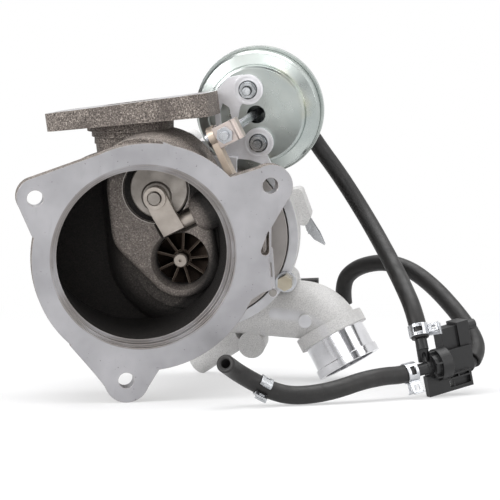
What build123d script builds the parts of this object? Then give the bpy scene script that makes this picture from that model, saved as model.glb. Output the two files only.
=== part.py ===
from build123d import *
import os
from math import atan2, cos, degrees, hypot, radians, sin, tan

# A wastegated turbocharger for a small petrol engine, standing on its outlet flange, its
# compressor outlet tube and its compressor foot. Everything on the turbocharger is drawn in
# the shaft frame: +Y runs along the shaft from the turbine to the compressor inlet, Z is up
# across it, and the origin is the centre of the compressor inlet mouth. STANCE then turns it
# to the way it stands. The hoses and the boost valve on them are drawn where they lie.

# ---------------------------------------------------------------- how it stands
SHAFT_RISE = 8.81            # degrees: the compressor end stands higher
ROLL = 1.25                  # degrees about the shaft
FLOOR = -116.0               # height of what it stands on
STANCE = Location((0, 0, 0), (SHAFT_RISE, ROLL, 0))

# ---------------------------------------------------------------- fits
RUNNING_GAP = 0.04           # shaft in its floating bearings, on the radius
SLIP_GAP = 0.02              # pieces slid onto the shaft
LOOSE_GAP = 0.3              # pieces that pass without touching
THIN_GAP = 0.1               # rings beside their grooves' walls

# ---------------------------------------------------------------- rotor
SHAFT_R = 4.0
STUB_R = 2.6                 # the thinner end that carries the compressor wheel
TURBINE_TIP_R = 17.4         # exducer
TURBINE_RIM_R = 21.8         # inducer
TURBINE_BLADES = 9
TURBINE_NOSE_Y = -158.5
TURBINE_NOSE_R = 4.8
EXDUCER_Y = -150.5           # where its blades end
BORE_MOUTH_R = 19.9          # the shroud opens a little towards the outlet
TURBINE_BACK_Y = -130.5
SEAL_HUB_R = 8.2             # the shaft's thick hub in the housing's turbine bore
SEAL_HUB_Y = (-130.5, -119.0)
TURBINE_GROOVE_Y = (-117.0, -115.4)
INDUCER_R = 17.5             # compressor wheel
EXDUCER_R = 23.0
COMPRESSOR_BLADES = 6
WHEEL_BACK_Y = -53.5
WHEEL_NOSE_Y = -27.0
SHROUD_GAP = 0.4
NUT_FLATS = 8.0
NUT_H = 5.0
COLLAR_Y = (-73.0, -71.0, -68.0, -66.0)
COLLAR_R = 9.5
COLLAR_CORE_R = 7.5
SLEEVE_R = 6.8
SLEEVE_Y = (-66.0, -54.3)
SLEEVE_GROOVE_Y = (-60.0, -58.4)
RING_DEPTH = 1.2             # piston ring grooves

# ---------------------------------------------------------------- bearing housing
DISC_R = 61.2                # compressor side flange
DISC_Y = (-64.0, -54.0)
BARREL_R = 26.0
HOT_FLANGE_R = 40.0          # turbine side flange
HOT_FLANGE_Y = (-120.0, -113.7)
BEARING_R = 6.5
BEARING_L = 10.0
BEARING_Y = (-107.0, -79.0)  # middles of the two floating bearings
THRUST_R = 15.5
THRUST_T = 2.8
RECESS_R = 16.0
SEAL_PLATE_R = 23.7
SEAL_PLATE_T = 6.6
SEAL_PLATE_BORE_R = 7.0
OIL_PORT_R = 5.0
OIL_PORT_Y = -88.0
PORT_BOSS_R = 10.5
PORT_TOP = 36.0
DRAIN_R = 6.5
DRAIN_DEPTH = 14.0
COOLANT_R = 5.5
COOLANT_Y = -92.0            # beside the water jacket
COOLANT_REACH = 35.0
PORT_DEPTH = 10.0            # threaded depth of the oil and coolant ports

# ---------------------------------------------------------------- turbine housing
FLANGE_TURN = 20.0           # degrees: the outlet flange faces out and to one side
FLANGE_CENTRE = (-15.5, -202.5, 10.1)
FLANGE_T = 9.0
FLANGE_R = 74.8
FLANGE_SHIFT = (2.3, -0.5)   # the rim isn't quite centred on the bore
OUTLET_R = 60.0
OUTLET_DEPTH = 3.0
STEP_R = 58.2
STEP_DEPTH = 8.0
CHAMBER_R = 56.0
WALL = 5.5
OUTLET_HOLES = ((-69.1, 41.0), (-12.8, -81.1), (83.4, 44.4))
OUTLET_LOBES = (12.6, 14.4)  # left and right; the low one reaches the floor
OUTLET_HOLE_R = 5.25
CHAMBER_FLOOR_Y = -136.0
ISLAND_Y = -159.0            # front of the cast island with the wheel and wastegate mouths
ISLAND_R = 25.5
ISLAND_SIDE = (-25.0, 20.0, 22.5)      # (x, z, radius) where it widens to the left
ISLAND_EDGE = 4.0            # its rounded rim
SEAT_CENTRE = (-16.2, 47.7)
SEAT_R = 22.5                # the recess around the flap
SEAT_DEPTH = 4.0
SEAT_RING = (-14.6, 48.2, 17.0)        # (x, z, radius) of the face that the flap rests on
SEAT_ISLAND_R = 34.0
BULGE_R = 39.5               # the housing's bulge round the wastegate
GATE_PORT_R = 12.5
SCROLL_Y = -133.0
SCROLL_INNER_R = 24.0
SCROLL_BIG = 13.0
SCROLL_SMALL = 6.0
SCROLL_WALL = 4.5
NECK_SIZE = (50.0, 38.0)
NECK_CENTRE = (-38.0, -133.2)
PORT_SIZE = (38.0, 27.0)
SLAB_CENTRE = (-36.2, -136.5, 103.8)   # middle of the inlet flange's top face
SLAB_SIZE = (111.0, 57.0)
SLAB_T = (12.0, 15.6)        # at its left and right ends
SLAB_TILT = 8.0
SLAB_LEAN = 3.3
SLAB_CORNER = 9.0
SLAB_HOLE_R = 5.25
SLAB_PITCH = (90.0, 38.0)
HOT_BORE_R = 31.0
BACK_FLANGE_R = 52.0
BACK_FLANGE_Y = (-126.0, -114.0)
CLAMP_BOLT_R = 46.0
CLAMP_BOLTS = (8, 68, 128, 188, 248, 308)
BRACKET_BOLT = 68            # the actuator bracket is under this one
CLAMP_PLATE_T = 3.0
BUSH_R = 7.0
BUSH_S = (-34.0, -5.0)       # its ends along the wastegate shaft, from the lever's plane
SHIELD_T = 1.0

# ---------------------------------------------------------------- wastegate
GATE_TILT = 27.0             # degrees: the shaft rises to the right
GATE_SHAFT_R = 4.7
LEVER_CENTRE = (40.7, -158.0, 46.6)    # lever plane, on the wastegate shaft's axis
LEVER_T = 4.6
LEVER_REACH = 41.0
LEVER_LEAN = 7.3             # degrees at rest, towards the compressor
GATE_OPEN = 20.0             # degrees of opening
ARM_S = -51.0                # along the shaft, from the lever plane
ARM_W = 15.4
ARM_T = 4.2
STUD_T = 22.6                # across the shaft, the flap's stud
STUD_R = 4.1
FLAP_R = 19.6
FLAP_AT = (-47.4, 26.5)
FLAP_T = 5.0                 # at its boss
FLAP_RIM_T = 3.4
FLAP_LIFT = 0.2
PIN_R = 4.0
PIN_PLAY = 0.8

# ---------------------------------------------------------------- actuator
CAN_FACE = (43.7, -103.2, 92.9)
CAN_TILT = 3.0               # degrees: the can's axis drops towards the turbine
CAN_R = 45.0
CAN_WALL_R = CAN_R - 2.1
CAN_FACE_R = 32.0
CAN_T = 1.2
CAN_RIM_Z = -19.0
CAN_BACK_Z = -36.5
CAN_BACK_R = CAN_R - 6.5
CAN_HOLE_R = 6.3
ROD_R = 3.0
PISTON_Z = -24.0
PISTON_R = CAN_R - 22
ROD_SEAT = (1.2, 0.4)        # the rod's seat in the piston
SPRING_R = 11.5
SPRING_WIRE_R = 1.1
NUT_AF = 10.0
M6_R = 3.0
STUDS = ((-5.2, 17.5), (1.85, -19.3))   # in the can's face
RING_BOSS_R = 10.3
WEB_T = 2.0
CLEVIS_T = 1.6
CLEVIS_S = (3.0, 20.0)       # its two ends along the pin
BRACKET_T = 2.5

# ---------------------------------------------------------------- compressor housing
RING_R = DISC_R + 7.7
RING_INNER_R = DISC_R + 1.0
RING_Y = (-64.0, -48.0)
RING_BOLT_R = DISC_R + 7.0
RING_BOLTS = (-28.3, 100.0, 160.0, 222.0)
RING_BOSS = 8.0
WASHER_R = 7.5
WASHER_T = 1.6
VOLUTE_INNER_R = 38.0
VOLUTE_BACK_Y = -52.0
VOLUTE_BIG = 18.0
VOLUTE_SMALL = 6.5
VOLUTE_WALL = 3.4
DIFFUSER_R = 47.0
SHROUD_Y = -48.6
INLET_R = 21.0
INLET_OUTER_R = 25.5
INLET_L = 22.0
TUBE_COLLAR = (92.4, -51.8, -70.4)
TUBE_DIR = (0.505, -0.2425, -0.828)
TUBE_R = 22.8
TUBE_BORE_R = 19.6
COLLAR_RING_R = 26.2
COLLAR_RING_T = 9.0
BEAD_R = 24.2
BEAD_T = 6.0
ELBOW_RUN = 16.0             # from the collar back to the duct's corner
ELBOW_R = 27.0
PORT_ROOT = (64.2, -24.0, -40.9)
TAG_ANGLE = -38.6            # the pin that holds the tag to the ring
TAG_R = DISC_R + 4.0
FOOT_START = (25.0, -36.0, -78.0)
FOOT_DIR = (-0.749, 0.35, -0.564)
FOOT_R = 10.0

# ---------------------------------------------------------------- hoses and boost valve
HOSE_R = 6.0
HOSE_BORE_R = 2.9
NIPPLE_R = 2.85
NIPPLE_BORE_R = 1.5
NIPPLE_IN = 6.0
BEND_SHARE = 0.45
CLAMP_W = 8.0
CLAMP_T = 0.8
EAR = 9.0
ACTUATOR_HOSE = (
    (70, -64, 75), (81, -55, 57), (98, -53, 34), (117, -60, 5),
    (133, -82, -20), (147, -109, -43), (156, -128, -61), (159.6, -133, -76.7),
)
COMPRESSOR_HOSE = (
    (98, -13, -62), (96, -15, -46), (107, -23, -34), (127, -32, -29), (147, -44, -33),
    (165, -59, -45), (181, -73, -61), (193, -84, -76), (198, -94, -88), (193.8, -103.3, -93.8),
)
VALVE_HOSE = (
    (156.9, -139.4, -97.9), (148, -145, -100.1), (137, -154, -100), (123, -165, -102), (107, -176, -107),
    (92, -185, -109.4), (78, -191, -109.6), (66, -195, -106), (55, -198, -100), (46.8, -205, -94),
    (42.3, -213, -89.2), (40.8, -222, -86.2),
)
VALVE_CORNER = (165.4, -132.9, -116.0) # the foot's low corner, on the floor
VALVE_TURN = 32.0            # degrees about Z
VALVE_ROLL = 12.0            # its right side is lifted by the hoses
VALVE_R = 10.9
VALVE_AXIS = (-1.0, 20.0)    # (y, z) of the drum, in the valve's own frame
COIL_AXIS = (8.0, 19.0)
COIL_R = 6.0


def unit(vector):
    return Vector(*vector).normalized()


UP = Vector(
    -cos(radians(SHAFT_RISE)) * sin(radians(ROLL)),
    sin(radians(SHAFT_RISE)),
    cos(radians(SHAFT_RISE)) * cos(radians(ROLL)),
)                            # the way up, seen from the shaft frame


def reach_to_floor(start, direction, radius):
    """How long a round bar from `start` is when the rim of its end rests on the floor."""
    drop = -unit(direction).dot(UP)
    return (Vector(*start).dot(UP) - FLOOR - radius * (1 - drop * drop) ** 0.5) / drop


def turned(*points):
    """A solid of revolution about the shaft from (radius, y) corners."""
    return revolve(make_face(Polyline(*points, close=True)), Axis.Y)


def ring_solid(inner, outer, low, high):
    """A plain ring about the shaft between two places along it."""
    return turned((inner, low), (outer, low), (outer, high), (inner, high))


def drum(start, end, radius):
    """A cylinder from one point to another."""
    start, end = Vector(*start), Vector(*end)
    along = end - start
    return Plane(origin=start, z_dir=along) * Cylinder(
        radius, along.length, align=(Align.CENTER, Align.CENTER, Align.MIN)
    )


def along_y(radius, x, z, low, high):
    """A cylinder parallel to the shaft at (x, z)."""
    return drum((x, low, z), (x, high, z), radius)


def around(angle, radius):
    """The (x, z) of a point at an angle about the shaft, 0 to the right, 90 up."""
    return radius * cos(radians(angle)), radius * sin(radians(angle))


def prism(flats, height):
    """A hexagonal head with its flats a given distance apart."""
    corner = flats / 2 / cos(radians(30))
    head = extrude(RegularPolygon(corner, 6), height)
    crown = Cylinder(corner * 0.985, height, align=(Align.CENTER, Align.CENTER, Align.MIN))
    return head & crown


def spiral(start, sweep, inner, big, small, middle, lift=0, steps=9):
    """A scroll's solid: circles that shrink round the shaft. They are centred on one plane
    across it, or rest on it where `lift` is 1. A scroll that shrinks clockwise has a
    negative sweep."""
    sections = []
    for step in range(steps + 1):
        share = step / steps
        angle = start + sweep * share
        radius = big + (small - big) * share
        x, z = around(angle, inner + radius)
        sense = 1 if sweep > 0 else -1
        tangent = (-sin(radians(angle)) * sense, 0, cos(radians(angle)) * sense)
        outward = (cos(radians(angle)), 0, sin(radians(angle)))
        plane = Plane(origin=(x, middle + lift * radius, z), x_dir=outward, z_dir=tangent)
        sections.append(plane * Circle(radius))
    return loft(sections)


def grown(wall, start, sweep, inner, big, small, middle, lift=0):
    """The outside of a scroll, a wall thicker all round."""
    low = middle - lift * wall
    return spiral(start, sweep, inner - wall, big + wall, small + wall, low, lift)


def blade(sections):
    """A twisted blade through (y, root radius, tip radius, turn in degrees, thickness)."""
    faces = []
    for y, root, tip, turn, thick in sections:
        plane = Plane(origin=(0, y, 0), x_dir=(cos(radians(turn)), 0, sin(radians(turn))), z_dir=(0, -1, 0))
        middle = (root + tip) / 2
        faces.append(plane * (Pos(middle, 0) * Rectangle(tip - root, thick)))
    return loft(faces, ruled=True)


def copies(shape, count, offset=0.0):
    """Equally spaced copies of a shape about the shaft."""
    return [Rot(0, offset + 360 * step / count, 0) * shape for step in range(count)]


def fused(*shapes):
    first, rest = shapes[0], shapes[1:]
    for shape in rest:
        first = first + shape
    return first


# ---------------------------------------------------------------- frames of the sub-parts
FLANGE_OUT = (sin(radians(FLANGE_TURN)), -cos(radians(FLANGE_TURN)), 0)
FLANGE = Plane(
    origin=FLANGE_CENTRE,
    x_dir=(cos(radians(FLANGE_TURN)), sin(radians(FLANGE_TURN)), 0),
    z_dir=FLANGE_OUT,
)
GATE_S = (cos(radians(GATE_TILT)), 0, sin(radians(GATE_TILT)))
GATE = Plane(origin=LEVER_CENTRE, x_dir=GATE_S, z_dir=(0, -1, 0))
CAN = Plane(
    origin=CAN_FACE,
    x_dir=(1, 0, 0),
    z_dir=(0, -cos(radians(CAN_TILT)), -sin(radians(CAN_TILT))),
)
SLAB = Location(SLAB_CENTRE) * Location((0, 0, 0), (-SLAB_LEAN, -SLAB_TILT, 0))
VALVE = Location(VALVE_CORNER) * Rot(0, 0, VALVE_TURN) * Rot(0, -VALVE_ROLL, 0)


def gate_point(s, t, z):
    """A point in the wastegate frame: along its shaft, across it, and out of the flap."""
    return GATE.from_local_coords((s, t, z))


def can_point(x, y, z):
    return CAN.from_local_coords((x, y, z))


PIN_T = LEVER_REACH * cos(radians(LEVER_LEAN))
PIN_Z = -LEVER_REACH * sin(radians(LEVER_LEAN))
WEB_Z = (3.0, 3.0 + WEB_T)
ROD_TIP = gate_point(9.57, 39.2, 14.0)
ROD_FOOT = can_point(*ROD_SEAT, PISTON_Z)
ROD_AXIS = (ROD_TIP - ROD_FOOT).normalized()


# ---------------------------------------------------------------- rotor pieces
def turbine_wheel():
    low, high = TURBINE_GROOVE_Y
    deep = SEAL_HUB_R - RING_DEPTH
    nose = TURBINE_NOSE_R
    hub = turned(
        (0, TURBINE_NOSE_Y), (nose - 0.7, TURBINE_NOSE_Y), (nose, TURBINE_NOSE_Y + 0.7),
        (nose, EXDUCER_Y + 1), (6.2, EXDUCER_Y + 1), (6.6, -144), (9.0, -138), (14.0, -134),
        (TURBINE_RIM_R - 1.5, -132), (TURBINE_RIM_R - 1.5, TURBINE_BACK_Y),
        (SEAL_HUB_R, TURBINE_BACK_Y), (SEAL_HUB_R, low),
        (deep, low), (deep, high), (SEAL_HUB_R, high), (SEAL_HUB_R, -113.4),
        (SHAFT_R, -113.2), (SHAFT_R, SLEEVE_Y[1]),
        (STUB_R, SLEEVE_Y[1]), (STUB_R, WHEEL_NOSE_Y + NUT_H + 1.5), (0, WHEEL_NOSE_Y + NUT_H + 1.5),
    )
    one = blade((
        (-132.2, 12.0, TURBINE_RIM_R, 62, 1.3), (-137.5, 8.6, TURBINE_RIM_R - 0.3, 58, 1.3),
        (-142.5, 6.0, TURBINE_TIP_R, 46, 1.4), (-146.5, 5.4, TURBINE_TIP_R, 29, 1.5),
        (EXDUCER_Y, 5.2, TURBINE_TIP_R, 7, 1.5),
    ))
    centre_drill = drum((0, TURBINE_NOSE_Y - 1, 0), (0, TURBINE_NOSE_Y + 2, 0), 1.0)
    return fused(hub, *copies(one, TURBINE_BLADES)) - centre_drill


def thrust_collar():
    a, b, c, d = COLLAR_Y
    bore = SHAFT_R + SLIP_GAP
    return turned(
        (bore, a), (COLLAR_R, a), (COLLAR_R, b), (COLLAR_CORE_R, b), (COLLAR_CORE_R, c),
        (COLLAR_R, c), (COLLAR_R, d), (bore, d),
    )


def seal_sleeve():
    low, high = SLEEVE_Y
    g0, g1 = SLEEVE_GROOVE_Y
    deep = SLEEVE_R - RING_DEPTH
    bore = SHAFT_R + SLIP_GAP
    return turned(
        (bore, low), (COLLAR_R - 1, low), (COLLAR_R - 1, low + 1.5), (SLEEVE_R, low + 2.5),
        (SLEEVE_R, g0), (deep, g0), (deep, g1), (SLEEVE_R, g1), (SLEEVE_R, high), (bore, high),
    )


def compressor_wheel():
    back, nose = WHEEL_BACK_Y, WHEEL_NOSE_Y
    tip = EXDUCER_R - 0.15
    hub = turned(
        (STUB_R + SLIP_GAP, back), (EXDUCER_R, back), (EXDUCER_R, back + 1.2), (15.0, back + 3.0),
        (10.0, back + 7.5), (7.0, back + 14.0), (5.6, nose - 2), (5.2, nose), (STUB_R + SLIP_GAP, nose),
    )
    full = blade((
        (back + 0.7, 12.0, tip, 0, 0.9), (back + 4.5, 9.5, tip, 8, 0.8),
        (back + 8.5, 7.6, INDUCER_R + 1.2, 18, 0.8), (back + 14.0, 5.8, INDUCER_R, 30, 0.7),
        (back + 22.5, 4.6, INDUCER_R, 52, 0.7),
    ))
    splitter = blade((
        (back + 0.7, 12.0, tip, 0, 0.9), (back + 4.5, 9.5, tip, 8, 0.8),
        (back + 8.5, 7.6, INDUCER_R + 1.2, 18, 0.8), (back + 13.0, 6.0, INDUCER_R + 0.2, 28, 0.7),
    ))
    step = 360 / COMPRESSOR_BLADES
    return fused(hub, *copies(full, COMPRESSOR_BLADES), *copies(splitter, COMPRESSOR_BLADES, step / 2))


def shaft_nut():
    nut = Plane(origin=(0, WHEEL_NOSE_Y, 0), z_dir=(0, 1, 0)) * prism(NUT_FLATS, NUT_H)
    return nut - drum((0, WHEEL_NOSE_Y - 1, 0), (0, WHEEL_NOSE_Y + NUT_H + 1, 0), STUB_R + SLIP_GAP)


# ---------------------------------------------------------------- bearing housing pieces
def bearing_housing():
    hot0, hot1 = HOT_FLANGE_Y
    disc0, disc1 = DISC_Y
    body = turned(
        (0, hot0), (HOT_FLANGE_R, hot0), (HOT_FLANGE_R, hot1), (34.3, hot1), (33, hot1 + 4), (BARREL_R, hot1 + 7),
        (BARREL_R, disc0 - 9), (34, disc0 - 4), (46, disc0), (DISC_R, disc0), (DISC_R, disc1), (0, disc1),
    )
    y = OIL_PORT_Y
    body += drum((0, y, 0), (0, y, PORT_TOP), PORT_BOSS_R)
    body += drum((0, y, 0), (0, y, -PORT_TOP), PORT_BOSS_R + 3)
    body += drum((-COOLANT_REACH, COOLANT_Y, 0), (COOLANT_REACH, COOLANT_Y, 0), PORT_BOSS_R - 1)
    collar = COLLAR_Y[0] - 0.05
    thrust = COLLAR_Y[1]
    plate = disc1 - SEAL_PLATE_T
    bore = BEARING_R + RUNNING_GAP
    body -= turned(
        (0, hot0 - 1), (SEAL_HUB_R + LOOSE_GAP, hot0 - 1), (SEAL_HUB_R + LOOSE_GAP, -113.2),
        (bore, -113.2), (bore, collar), (COLLAR_R + 1, collar), (COLLAR_R + 1, thrust),
        (RECESS_R, thrust), (RECESS_R, plate), (SEAL_PLATE_R + 0.1, plate),
        (SEAL_PLATE_R + 0.1, disc1 + 1), (0, disc1 + 1),
    )
    for groove in snap_ring_places():
        body -= ring_solid(BEARING_R - 1, BEARING_R + 0.9, groove, groove + 0.8)
    body -= ring_solid(16.5, 21.5, -104, -94)
    for side in (-1, 1):
        mouth = (side * (COOLANT_REACH + 1), COOLANT_Y, 0)
        body -= drum((side * 18, -99, 0), mouth, 3.5)
        body -= drum((side * (COOLANT_REACH - PORT_DEPTH), COOLANT_Y, 0), mouth, COOLANT_R)
    body -= drum((0, y, 0), (0, y, PORT_TOP + 1), 1.8)
    body -= drum((0, y, PORT_TOP - PORT_DEPTH), (0, y, PORT_TOP + 1), OIL_PORT_R)
    body -= drum((0, y, 0), (0, y, -PORT_TOP), DRAIN_R - 2)
    body -= drum((0, y, -PORT_TOP + DRAIN_DEPTH), (0, y, -PORT_TOP - 1), DRAIN_R)
    return body


def snap_ring_places():
    half = BEARING_L / 2
    places = []
    for middle in BEARING_Y:
        places += [middle - half - 0.9, middle + half + 0.1]
    return places


def floating_bearings():
    half = BEARING_L / 2
    pair = []
    for middle in BEARING_Y:
        ring = ring_solid(SHAFT_R + RUNNING_GAP, BEARING_R, middle - half, middle + half)
        for oil_hole in range(4):
            x, z = around(45 + 90 * oil_hole, BEARING_R + 1)
            ring -= drum((0, middle, 0), (x, middle, z), 1.0)
        pair.append(ring)
    return pair


def snap_rings():
    rings = []
    for place in snap_ring_places():
        ring = ring_solid(BEARING_R - 1.1, BEARING_R + 0.85, place + 0.05, place + 0.75)
        rings.append(ring - Pos(0, place, 5) * Box(2.4, 4, 10))
    return rings


def thrust_bearing():
    low = COLLAR_Y[1]
    plate = ring_solid(COLLAR_CORE_R + LOOSE_GAP, THRUST_R, low, low + THRUST_T)
    return plate - Pos(0, low + THRUST_T / 2, -14) * Box(6, 4, 6)


def oil_deflector():
    low = COLLAR_Y[1] + THRUST_T
    return ring_solid(COLLAR_R + LOOSE_GAP, THRUST_R, low, low + 1.0) + ring_solid(
        THRUST_R - 2, THRUST_R, low, DISC_Y[1] - SEAL_PLATE_T
    )


def seal_plate():
    high = DISC_Y[1]
    low = high - SEAL_PLATE_T
    groove = low + 2.4
    plate = ring_solid(SEAL_PLATE_BORE_R, SEAL_PLATE_R, low, high)
    plate -= ring_solid(SEAL_PLATE_R - 1.6, SEAL_PLATE_R + 1, groove, groove + 2)
    for angle in (90, 210, 330):
        x, z = around(angle, SEAL_PLATE_R - 5)
        plate -= along_y(2.1, x, z, low - 1, high + 1) + along_y(3.6, x, z, high - 2.2, high + 1)
    return plate


def seal_plate_screws():
    high = DISC_Y[1]
    low = high - SEAL_PLATE_T
    screws = []
    for angle in (90, 210, 330):
        x, z = around(angle, SEAL_PLATE_R - 5)
        head = along_y(3.5, x, z, high - 2.2, high - 0.3)
        socket = Plane(origin=(x, high + 0.5, z), z_dir=(0, -1, 0)) * extrude(RegularPolygon(1.4, 6), 1.8)
        screws.append(head + along_y(2.0, x, z, low, high - 2.2) - socket)
    return screws


def o_ring():
    middle = DISC_Y[1] - SEAL_PLATE_T + 3.4
    circle = Pos(SEAL_PLATE_R - 0.75, middle) * Circle(0.78)
    return revolve(circle, Axis.Y)


def piston_rings():
    rings = []
    for (low, high), outer, radius in (
        (TURBINE_GROOVE_Y, SEAL_HUB_R + LOOSE_GAP - 0.01, SEAL_HUB_R),
        (SLEEVE_GROOVE_Y, SEAL_PLATE_BORE_R - 0.01, SLEEVE_R),
    ):
        inner = radius - RING_DEPTH + LOOSE_GAP
        ring = ring_solid(inner, outer, low + THIN_GAP, high - THIN_GAP)
        rings.append(ring - Pos(0, (low + high) / 2, radius) * Box(0.5, 4, 4))
    return rings


def heat_shield():
    front = HOT_FLANGE_Y[0]
    return turned(
        (SEAL_HUB_R + 0.6, -129.3), (23, -129.3), (24.5, -127.8), (24.5, front - SHIELD_T),
        (HOT_BORE_R + 3, front - SHIELD_T), (HOT_BORE_R + 3, front), (23.5, front),
        (23.5, -127.4), (22.6, -128.3), (SEAL_HUB_R + 0.6, -128.3),
    )


# ---------------------------------------------------------------- turbine housing
def flange_outline():
    shift_x, shift_y = FLANGE_SHIFT
    (lx, ly), (bx, by), (rx, ry) = OUTLET_HOLES
    left_r, right_r = OUTLET_LOBES
    low = FLANGE.from_local_coords((bx + 0.6, by - 0.2, 0)).dot(UP) - FLOOR
    low_r = low / (1 - unit(FLANGE_OUT).dot(UP) ** 2) ** 0.5
    rim = Pos(shift_x, shift_y) * Circle(FLANGE_R)
    lobes = Pos(lx + 0.6, ly + 0.5) * Circle(left_r) + Pos(bx + 0.6, by - 0.2) * Circle(low_r)
    lobes += Pos(rx + 0.6, ry - 0.6) * Circle(right_r)
    left_web = make_face(Polyline(
        (lx - 4, ly + 12.2), (-24, 69.2), (-24, 20), (-71.5, 16), (lx - 10.2, ly - 6), close=True
    ))
    low_web = make_face(Polyline(
        (-49, -56), (-33, -76), (bx - 9.4, by - 9.8), (bx + 12.8, by - 8), (7.0, -78), (12.5, -70),
        (0, -40), close=True
    ))
    right_web = make_face(Polyline(
        (50, 49.5), (59, 51.4), (rx - 3.2, ry + 12.6), (rx + 12, ry - 9.4), (88.9, 24.9), (84.2, 16.7),
        (84.0, -0.8), (82.2, -3.2), (84.9, -24.8), (78.9, -26.4), (69.8, -31.6), (60, -33), (60, 0),
        close=True
    ))
    drop = make_hull((Pos(79.9, 1.1) * Circle(2.8) + Pos(82.1, 13.8) * Circle(0.4)).edges())
    return rim + lobes + left_web + low_web + right_web - drop


def outlet_flange():
    plate = extrude(FLANGE * flange_outline(), -FLANGE_T)
    for x, y in OUTLET_HOLES:
        plate -= FLANGE * (Pos(x, y, -FLANGE_T / 2) * Cylinder(OUTLET_HOLE_R, FLANGE_T + 2))
    return plate


def in_flange(radius, near, far):
    """A cylinder about the outlet's axis between two depths behind the flange face."""
    middle = -(near + far) / 2
    return FLANGE * (Pos(0, 0, middle) * Cylinder(radius, far - near))


def before(y):
    """A block that holds everything on the turbine side of a plane across the shaft."""
    size = 400
    return Pos(0, y - size / 2, 0) * Box(size, size, size)


def island():
    """The cast shelf in the outlet chamber that the wheel and the wastegate open through."""
    seat_x, seat_z = SEAT_CENTRE
    plane = Plane(origin=(0, ISLAND_Y, 0), x_dir=(1, 0, 0), z_dir=(0, -1, 0))
    side_x, side_z, side_r = ISLAND_SIDE
    circles = Circle(ISLAND_R) + Pos(seat_x, seat_z) * Circle(SEAT_ISLAND_R)
    circles += Pos(side_x, side_z) * Circle(side_r)
    block = extrude(plane * make_hull(circles.edges()), -(BACK_FLANGE_Y[0] - ISLAND_Y))
    return fillet(block.edges().group_by(Axis.Y)[0], ISLAND_EDGE)


def neck():
    x, y = NECK_CENTRE
    centre_x = -(SCROLL_INNER_R + SCROLL_BIG)
    radius = SCROLL_BIG + SCROLL_WALL
    width, depth = NECK_SIZE
    top = Plane(origin=(x, y, 98), x_dir=(1, 0, 0), z_dir=(0, 0, 1)) * RectangleRounded(width, depth, 14)
    low = Plane(origin=(centre_x, SCROLL_Y, 0), x_dir=(1, 0, 0), z_dir=(0, 0, 1)) * Circle(radius)
    tube = loft([low, top])
    for height, wider in ((76, 1), (81, 4), (85, 9)):
        outline = RectangleRounded(width - 3 + wider, depth - 3 + wider, 14)
        tube += extrude(Plane(origin=(x, y, height), x_dir=(1, 0, 0), z_dir=(0, 0, 1)) * outline, 8)
    return tube


def inlet_passage():
    x, y = NECK_CENTRE
    centre_x = -(SCROLL_INNER_R + SCROLL_BIG)
    top = Plane(origin=(x, y, 118), x_dir=(1, 0, 0), z_dir=(0, 0, 1)) * RectangleRounded(*PORT_SIZE, 10)
    low = Plane(origin=(centre_x, SCROLL_Y, 0), x_dir=(1, 0, 0), z_dir=(0, 0, 1)) * Circle(SCROLL_BIG)
    return loft([low, top])


def inlet_flange():
    length, depth = SLAB_SIZE
    left, right = SLAB_T
    profile = make_face(Polyline(
        (-length / 2, 0), (length / 2, 0), (length / 2, -right), (-length / 2, -left), close=True
    ))
    wedge = extrude(Plane.XZ * profile, depth / 2, both=True)
    edges = wedge.edges().filter_by(lambda edge: abs(edge.tangent_at(0.5).Z) > 0.9)
    return SLAB * fillet(edges, SLAB_CORNER)


def slab_holes():
    pitch_x, pitch_y = SLAB_PITCH
    holes = []
    for side in (-1, 1):
        for end in (-1, 1):
            spot = Pos(side * pitch_x / 2, end * pitch_y / 2, -10)
            holes.append(SLAB * (spot * Cylinder(SLAB_HOLE_R, 40)))
    return holes


def chamber():
    """The hollow behind the outlet that both gas ways open into."""
    seat_x, seat_z = SEAT_CENTRE
    hollow = in_flange(CHAMBER_R, STEP_DEPTH - 1, 95) & before(CHAMBER_FLOOR_Y)
    return hollow + along_y(BULGE_R - WALL - 0.5, seat_x, seat_z, -198, ISLAND_Y)


def bush_boss():
    """The rounded boss in the chamber's wall that holds the wastegate bushing."""
    inner, outer = BUSH_S
    boss = drum(gate_point(inner, 0, 0), gate_point(outer - 1, 0, 0), BUSH_R + 2.5)
    for start, radius in ((inner + 1.2, 11.0), (inner + 3.2, 12.3), (inner + 6.5, 13.4)):
        boss += drum(gate_point(start, 0, 0), gate_point(-14, 0, 0), radius)
    return boss


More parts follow.
